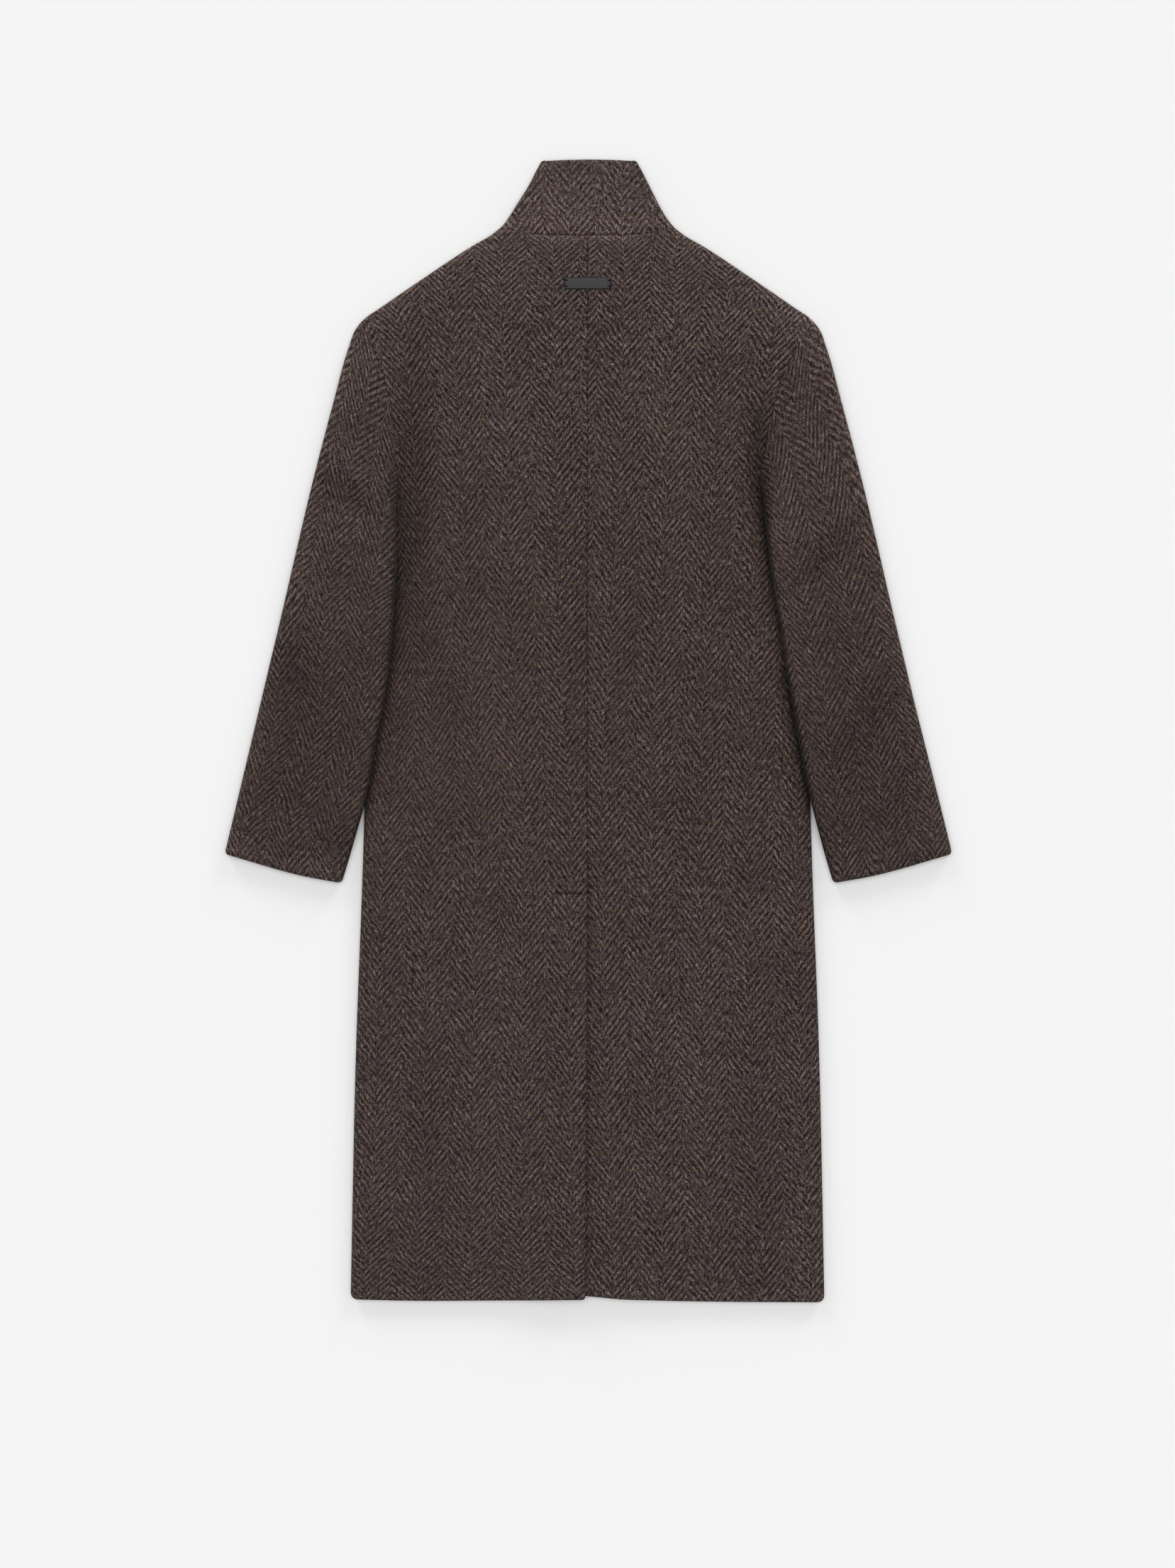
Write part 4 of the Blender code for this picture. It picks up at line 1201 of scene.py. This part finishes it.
# Shader maths
class Value:
    """One output in a material's node tree: arithmetic on it adds Math nodes."""

    def __init__(self, tree, socket):
        self.tree = tree
        self.socket = socket

    def node(self, kind, settings=None, sockets=None, output=0):
        """Adds any node: its settings first, then the values or links of its sockets."""
        node = self.tree.nodes.new(kind)
        for name, setting in (settings or {}).items():
            setattr(node, name, setting)
        for name, given in (sockets or {}).items():
            if isinstance(given, Value):
                self.tree.links.new(given.socket, node.inputs[name])
            else:
                node.inputs[name].default_value = given
        return Value(self.tree, node.outputs[output])

    def math(self, operation, *others):
        return self.node("ShaderNodeMath", {"operation": operation}, dict(enumerate((self, *others))))

    def math_after(self, operation, first):
        return self.node("ShaderNodeMath", {"operation": operation}, {0: first, 1: self})

    def vector(self, operation, *others):
        settings = {"operation": operation}
        return self.node("ShaderNodeVectorMath", settings, dict(enumerate((self, *others))))

    def feed(self, shader, name):
        self.tree.links.new(self.socket, shader.inputs[name])

    def emboss(self, shader, strength, distance):
        """Feeds the shader's Normal with this value as a height."""
        sockets = {"Strength": strength, "Distance": distance, "Height": self}
        self.node("ShaderNodeBump", None, sockets).feed(shader, "Normal")

    def between(self, low, high):
        """A smooth step of this value from 0 at low to 1 at high."""
        settings = {"interpolation_type": "SMOOTHSTEP"}
        return self.node("ShaderNodeMapRange", settings, {"Value": self, "From Min": low, "From Max": high})

    def blend(self, first, second):
        """A colour between two colours by this value."""
        settings = {"data_type": "RGBA"}
        return self.node("ShaderNodeMix", settings, {"Factor": self, 6: first, 7: second}, output=2)

    def __add__(self, other):
        return self.math("ADD", other)

    def __sub__(self, other):
        return self.math("SUBTRACT", other)

    def __rsub__(self, other):
        return self.math_after("SUBTRACT", other)

    def __mul__(self, other):
        return self.math("MULTIPLY", other)

    def __truediv__(self, other):
        return self.math("DIVIDE", other)

    def __rtruediv__(self, other):
        return self.math_after("DIVIDE", other)

    __radd__ = __add__
    __rmul__ = __mul__


def new_finish(name, roughness, specular=0.12, sheen=0.0, sheen_roughness=0.5, sheen_tint=WHITE):
    """A material with its even settings made, and the shader whose Base Color and Normal are still free."""
    material = bpy.data.materials.new(name)
    material.use_nodes = True
    shader = material.node_tree.nodes["Principled BSDF"]
    shader.inputs["Roughness"].default_value = roughness
    shader.inputs["Specular IOR Level"].default_value = specular
    shader.inputs["Sheen Weight"].default_value = sheen
    shader.inputs["Sheen Roughness"].default_value = sheen_roughness
    shader.inputs["Sheen Tint"].default_value = sheen_tint
    return material, shader


def cloth_noise(place, size, detail=2.0, rough=0.5, output=0):
    """Noise of a size in metres over the cloth."""
    sockets = {"Vector": place, "Scale": 1.0 / size, "Detail": detail, "Roughness": rough}
    return place.node("ShaderNodeTexNoise", {"noise_dimensions": "2D"}, sockets, output)


def yarn_noise(column, phase, across, along):
    """Noise drawn out along the slanted yarns: so many spots over a column's width and over a line."""
    place = column.node("ShaderNodeCombineXYZ", None, {0: column * across, 1: phase * along})
    return cloth_noise(place, 1.0, 1.0)


def weave_contrast(across, along, body):
    """How strong the weave is: most at the upper right, less on the collar, sleeves and left waist."""
    chest = along.between(0.15, 0.50) * 0.14
    below_neck = along.between(0.56, 0.53) * 0.18
    right = across.between(-0.12, 0.04) * 0.12
    waist = along.between(-0.22, -0.06) * along.between(0.26, 0.10)
    left_waist = waist * across.between(0.04, -0.12) * 0.15
    return chest + below_neck + body * (right - left_waist + 0.06) + 0.87


def yarn_hue(place, along, body, bright, flecks):
    """Hue of the yarns: dark, pale or golden, heathered, and cooler at the hem, collar and sleeves."""
    golden = cloth_noise(place, GOLD_SIZE, 1.0).between(0.40, 0.62)
    hue = bright.between(-0.9, 0.9).blend(DARK_YARN, golden.blend(PALE_YARN, GOLD_YARN))
    cool = along.between(-0.05, -0.25) + along.between(0.36, 0.56) + (1.0 - body) * 0.5
    tint = flecks.vector("MULTIPLY_ADD", FLECK_TINT, TINT_START)
    tint = cloth_noise(place, HEATHER_SIZE, 2.0, 0.75, output=1).vector("MULTIPLY_ADD", HEATHER_TINT, tint)
    return hue.vector("MULTIPLY", cool.blend(WHITE, COOLER)).vector("MULTIPLY", tint)


def make_wool():
    """Herringbone wool: light and dark slanted lines in columns, of fuzzy, flecked yarns."""
    finish = {"sheen": 0.04, "sheen_roughness": 0.6, "sheen_tint": WOOL_SHEEN}
    material, shader = new_finish("herringbone wool", 0.95, **finish)
    place = Value(material.node_tree, None).node("ShaderNodeAttribute", {"attribute_name": "weave"}, output=1)
    # The weave attribute's third number is the painted light and shade of the cloth
    across, along, painted_shading = [place.node("ShaderNodeSeparateXYZ", None, {0: place}, axis) for axis in range(3)]

    # Slanted lines, turned from column to column
    drift = cloth_noise(place, DRIFT_SIZE) - 0.5
    waver = cloth_noise(place, WAVER_SIZE) - 0.5
    column = across / COLUMN + drift * COLUMN_WANDER[0] + waver * COLUMN_WANDER[1]
    line = along / LINE_PITCH + drift * LINE_WANDER[0] + waver * LINE_WANDER[1]
    odd = column.math("FLOOR") - 2.0 * (column / 2.0).math("FLOOR")
    phase = line - LINES_ACROSS * column.math("PINGPONG", 1.0) + odd * 0.5
    light = phase.math("PINGPONG", 0.5).between(0.08, 0.42)

    # Light and dark of the lines, the tufts and the yarns, less in the brightest places
    dabs = yarn_noise(column, phase, *DABS)
    flecks = yarn_noise(column, phase, *FLECKS)
    clear = cloth_noise(place, CLEAR_SIZE).between(0.30, 0.62)
    tufts = cloth_noise(place, TUFT_SIZE)
    body = across.math("ABSOLUTE").between(0.6, 0.5)
    crisp = weave_contrast(across, along, body)
    lines = (light - 0.5) * (clear * 0.64 + 0.545) * (along.between(0.60, 0.55) * 0.20 + 0.80)
    spots = (dabs - 0.5) * DAB_STRENGTH
    bright = (lines + (tufts - 0.5) + spots + (flecks - 0.5) * FLECK_STRENGTH) * crisp
    over = bright.math("MAXIMUM", 0.0)
    bright = bright - over * over * BRIGHT_LIMIT

    # Colour, evened where the weave is weaker, and darkened and lightened by the painted light and shade
    patches = cloth_noise(place, PATCH_SIZE, 3.0) * 0.46 + 0.77
    level = bright.math("EXPONENT") * (1.25 - crisp * 0.22) * painted_shading * patches * WOOL_LEVEL
    hue = yarn_hue(place, along, body, bright, flecks)
    colour = hue.node("ShaderNodeVectorMath", {"operation": "SCALE"}, {0: hue, "Scale": level})
    colour.feed(shader, "Base Color")
    relief = light * 0.4 + dabs * 0.6 + flecks * 0.6
    relief.emboss(shader, *WOOL_RELIEF)
    return material


def make_rubber():
    """Dark grey moulded tab, matt and very slightly mottled."""
    material, shader = new_finish("dark grey tab", 0.45, specular=0.22)
    place = Value(material.node_tree, None).node("ShaderNodeTexCoord", output=3)
    grain = place.node("ShaderNodeTexNoise", None, {"Vector": place, "Scale": FINE_SCALE, "Detail": 3.0})
    grain.blend(TAB_DARK, TAB_PALE).feed(shader, "Base Color")
    grain.emboss(shader, *TAB_RELIEF)
    return material


def make_thread(name, dark, pale):
    """Sewing thread with the bands of its twist."""
    material, shader = new_finish(name, 0.7)
    place = Value(material.node_tree, None).node("ShaderNodeTexCoord", output=3)
    settings = {"wave_type": "BANDS", "bands_direction": "DIAGONAL"}
    sockets = {"Vector": place, "Scale": FINE_SCALE, "Distortion": 1.0}
    twist = place.node("ShaderNodeTexWave", settings, sockets, 1)
    twist.blend((*dark, 1.0), (*pale, 1.0)).feed(shader, "Base Color")
    return material


# Small pieces
def small_piece(name, sheet, material, node=None):
    bmesh.ops.recalc_face_normals(sheet, faces=sheet.faces)
    piece = put_sheet(name, sheet, material)
    piece.data.shade_smooth()
    piece.data.set_sharp_from_angle(angle=SHARP_ANGLE)
    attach(piece, "root")
    if node:
        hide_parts(node)
    return piece


def tab_top(x, y):
    """Level of the cloth under the tab."""
    return upper(np.asarray(x, float), np.asarray(y, float)) + SEAM_GAP


def make_tab(node):
    """The tab: a thin plate with rounded corners and a soft top edge, bent to the cloth, its flared sides
    black as painted shade around it.
    """
    width, length = TAB_SIZE
    sheet = bmesh.new()
    bmesh.ops.create_cube(sheet, size=1.0)
    bmesh.ops.scale(sheet, vec=(width, length, TAB_THICKNESS), verts=sheet.verts)
    upright = [edge for edge in sheet.edges if edge.verts[0].co.z * edge.verts[1].co.z < 0.0]
    bmesh.ops.bevel(
        sheet, geom=upright, offset=TAB_CORNER, affect="EDGES", segments=4, profile=0.5, material=-1
    )
    rim = [edge for edge in sheet.edges if min(vert.co.z for vert in edge.verts) > 0.0]
    bmesh.ops.bevel(sheet, geom=rim, offset=TAB_EDGE, affect="EDGES", segments=3, profile=0.5, material=-1)
    for vert in sheet.verts:
        if vert.co.z < 0.0:
            vert.co.x += math.copysign(TAB_FLARE, vert.co.x)
            vert.co.y += math.copysign(TAB_FLARE, vert.co.y)
    # The flared sides take the black material: painted shade around the tab's border
    for face in sheet.faces:
        levels = [vert.co.z for vert in face.verts]
        face.material_index = 1 if min(levels) < 0.0 < max(levels) else 0
    for k in range(1, TAB_SPANS):
        x = width * (k / TAB_SPANS - 0.5)
        geom = sheet.verts[:] + sheet.edges[:] + sheet.faces[:]
        bmesh.ops.bisect_plane(sheet, geom=geom, plane_co=(x, 0.0, 0.0), plane_no=(1.0, 0.0, 0.0))
    for vert in sheet.verts:
        vert.co.y += TAB_CENTRE_Y
        vert.co.z += TAB_THICKNESS / 2 + tab_top(vert.co.x, vert.co.y)
    piece = small_piece("tab_plate", sheet, rubber, node)
    piece.data.materials.append(black_thread_and_tab_shade)


def add_stitch(sheet, centre, length, radius, turn=0.0):
    """A short thread with round ends, its middle a little higher than its ends."""
    made = bmesh.ops.create_uvsphere(sheet, u_segments=10, v_segments=12, radius=1.0)["verts"]
    for vert in made:
        reach = vert.co.z * length / 2
        bow = radius * STITCH_BOW * (1.0 - vert.co.z ** 2)
        thick = radius / max(math.sqrt(1.0 - min(vert.co.z ** 2, 0.97)), 0.35)
        sideways = vert.co.x * thick
        vert.co.z = centre[2] + vert.co.y * thick + bow
        vert.co.x = centre[0] + reach * math.cos(turn) - sideways * math.sin(turn)
        vert.co.y = centre[1] + reach * math.sin(turn) + sideways * math.cos(turn)


def make_tab_stitches():
    """Four black stitches that hold the tab at its corners, each over its side edge."""
    width, length = TAB_SIZE
    sheet = bmesh.new()
    for along in (-1, 1):
        for up in (-1, 1):
            inner = along * (width / 2 - TAB_STITCH_INSET[0])
            y = TAB_CENTRE_Y + up * (length / 2 - TAB_STITCH_INSET[1])
            x = inner + along * TAB_STITCH_LENGTH / 2
            level = tab_top(x, y) + TAB_THICKNESS
            add_stitch(sheet, (x, y, level), TAB_STITCH_LENGTH, TAB_THREAD)
    piece = small_piece("tab_stitches", sheet, black_thread_and_tab_shade)


def make_vent_stitches():
    """The row of dark stitches across the top of the vent, sunk in its groove."""
    sheet = bmesh.new()
    pitch = -STITCH_LINE_X / VENT_STITCHES
    for k in range(VENT_STITCHES):
        x = STITCH_LINE_X + pitch * (k + 0.5)
        y = VENT_TOP_Y + VENT_STITCH_WANDER * math.sin(2.3 * k)
        level = float(back_height(np.array(x), np.array(y), -1))
        turn = VENT_STITCH_TURN * math.sin(1.7 * k)
        add_stitch(sheet, (x, y, level), VENT_STITCH_LENGTH, VENT_THREAD, turn)
    piece = small_piece("vent_stitches", sheet, brown_thread)


# Floor, light and camera
PHOTO_SIZE = (1657, 2212)
METRES_PER_PIXEL = 0.000778
COAT_CENTRE_PIXEL = (828.5, 1029.0)
LENS = 85.0
SENSOR = 36.0
FLOOR_HALF = 40.0
FLOOR_DOWN = -0.0002
FLOOR_GREY = (0.86, 0.86, 0.86, 1.0)

# Light: what the floor gets in all, and the shares of the dome and of each soft light
FLOOR_LIGHT = 1.0616
DOME_SHARE = 0.34
Sun = namedtuple("Sun", "name azimuth elevation width share")
SUNS = (
    Sun("light from above", 90.0, 88.0, 70.0, 0.490),
    Sun("light past the collar, from the left", 118.0, 11.0, 18.0, 0.075),
    Sun("light past the collar, from the right", 62.0, 11.0, 18.0, 0.075),
    Sun("light on the left", 180.0, 17.5, 26.0, 0.010),
    Sun("light on the right", 0.0, 17.5, 26.0, 0.010),
)


def make_floor():
    sheet = bmesh.new()
    bmesh.ops.create_grid(sheet, x_segments=1, y_segments=1, size=FLOOR_HALF)
    bmesh.ops.translate(sheet, vec=(0.0, 0.0, FLOOR_DOWN), verts=sheet.verts)
    material, shader = new_finish("pale floor", 0.9)
    shader.inputs["Base Color"].default_value = FLOOR_GREY
    floor = put_sheet("floor", sheet, material)


def make_sun(name, azimuth, elevation, width, share):
    """A far soft light from an azimuth, counted from +X to +Y, that gives a share of the floor's light."""
    light = bpy.data.lights.new(name, "SUN")
    light.angle = math.radians(width)
    light.energy = share * FLOOR_LIGHT * math.pi / math.sin(math.radians(elevation))
    lamp = put(name, light)
    lamp.rotation_euler = (math.radians(90.0 - elevation), 0.0, math.radians(azimuth + 90.0))


def make_studio():
    """A pale dome with soft lights from above, from past the collar and from both sides."""
    world = bpy.data.worlds.new("studio")
    world.use_nodes = True
    dome = world.node_tree.nodes["Background"]
    dome.inputs["Color"].default_value = WHITE
    dome.inputs["Strength"].default_value = DOME_SHARE * FLOOR_LIGHT
    bpy.context.scene.world = world
    for row in SUNS:
        make_sun(*row)
    bpy.context.scene.view_settings.view_transform = "Standard"


def make_camera():
    """Straight above the coat, framed as the photograph is."""
    camera = bpy.data.cameras.new("camera")
    camera.sensor_width = SENSOR
    camera.lens = LENS
    frame_height = PHOTO_SIZE[1] * METRES_PER_PIXEL
    centre_y = (COAT_CENTRE_PIXEL[1] - PHOTO_SIZE[1] / 2) * METRES_PER_PIXEL
    eye = put("camera", camera)
    eye.location = (0.0, centre_y, EDGE_LOFT + frame_height * LENS / SENSOR)
    bpy.context.scene.camera = eye


wool = make_wool()
rubber = make_rubber()
# The black thread also colours the tab's flared sides, as painted shade around the tab
black_thread_and_tab_shade = make_thread("black thread and painted tab shade", (0.003, 0.003, 0.003), (0.010, 0.010, 0.010))
brown_thread = make_thread("dark brown thread", (0.008, 0.006, 0.005), (0.022, 0.016, 0.014))

for side, word in WORDS.items():
    make_front(side, "front_" + word)
    make_back(side, "back_" + word)
    make_sleeve_under(side, "sleeve_under_" + word)
    make_sleeve_top(side, "sleeve_top_" + word)
make_collar("collar")
make_tab("back_tab")
make_tab_stitches()
make_vent_stitches()

make_floor()
make_studio()
make_camera()
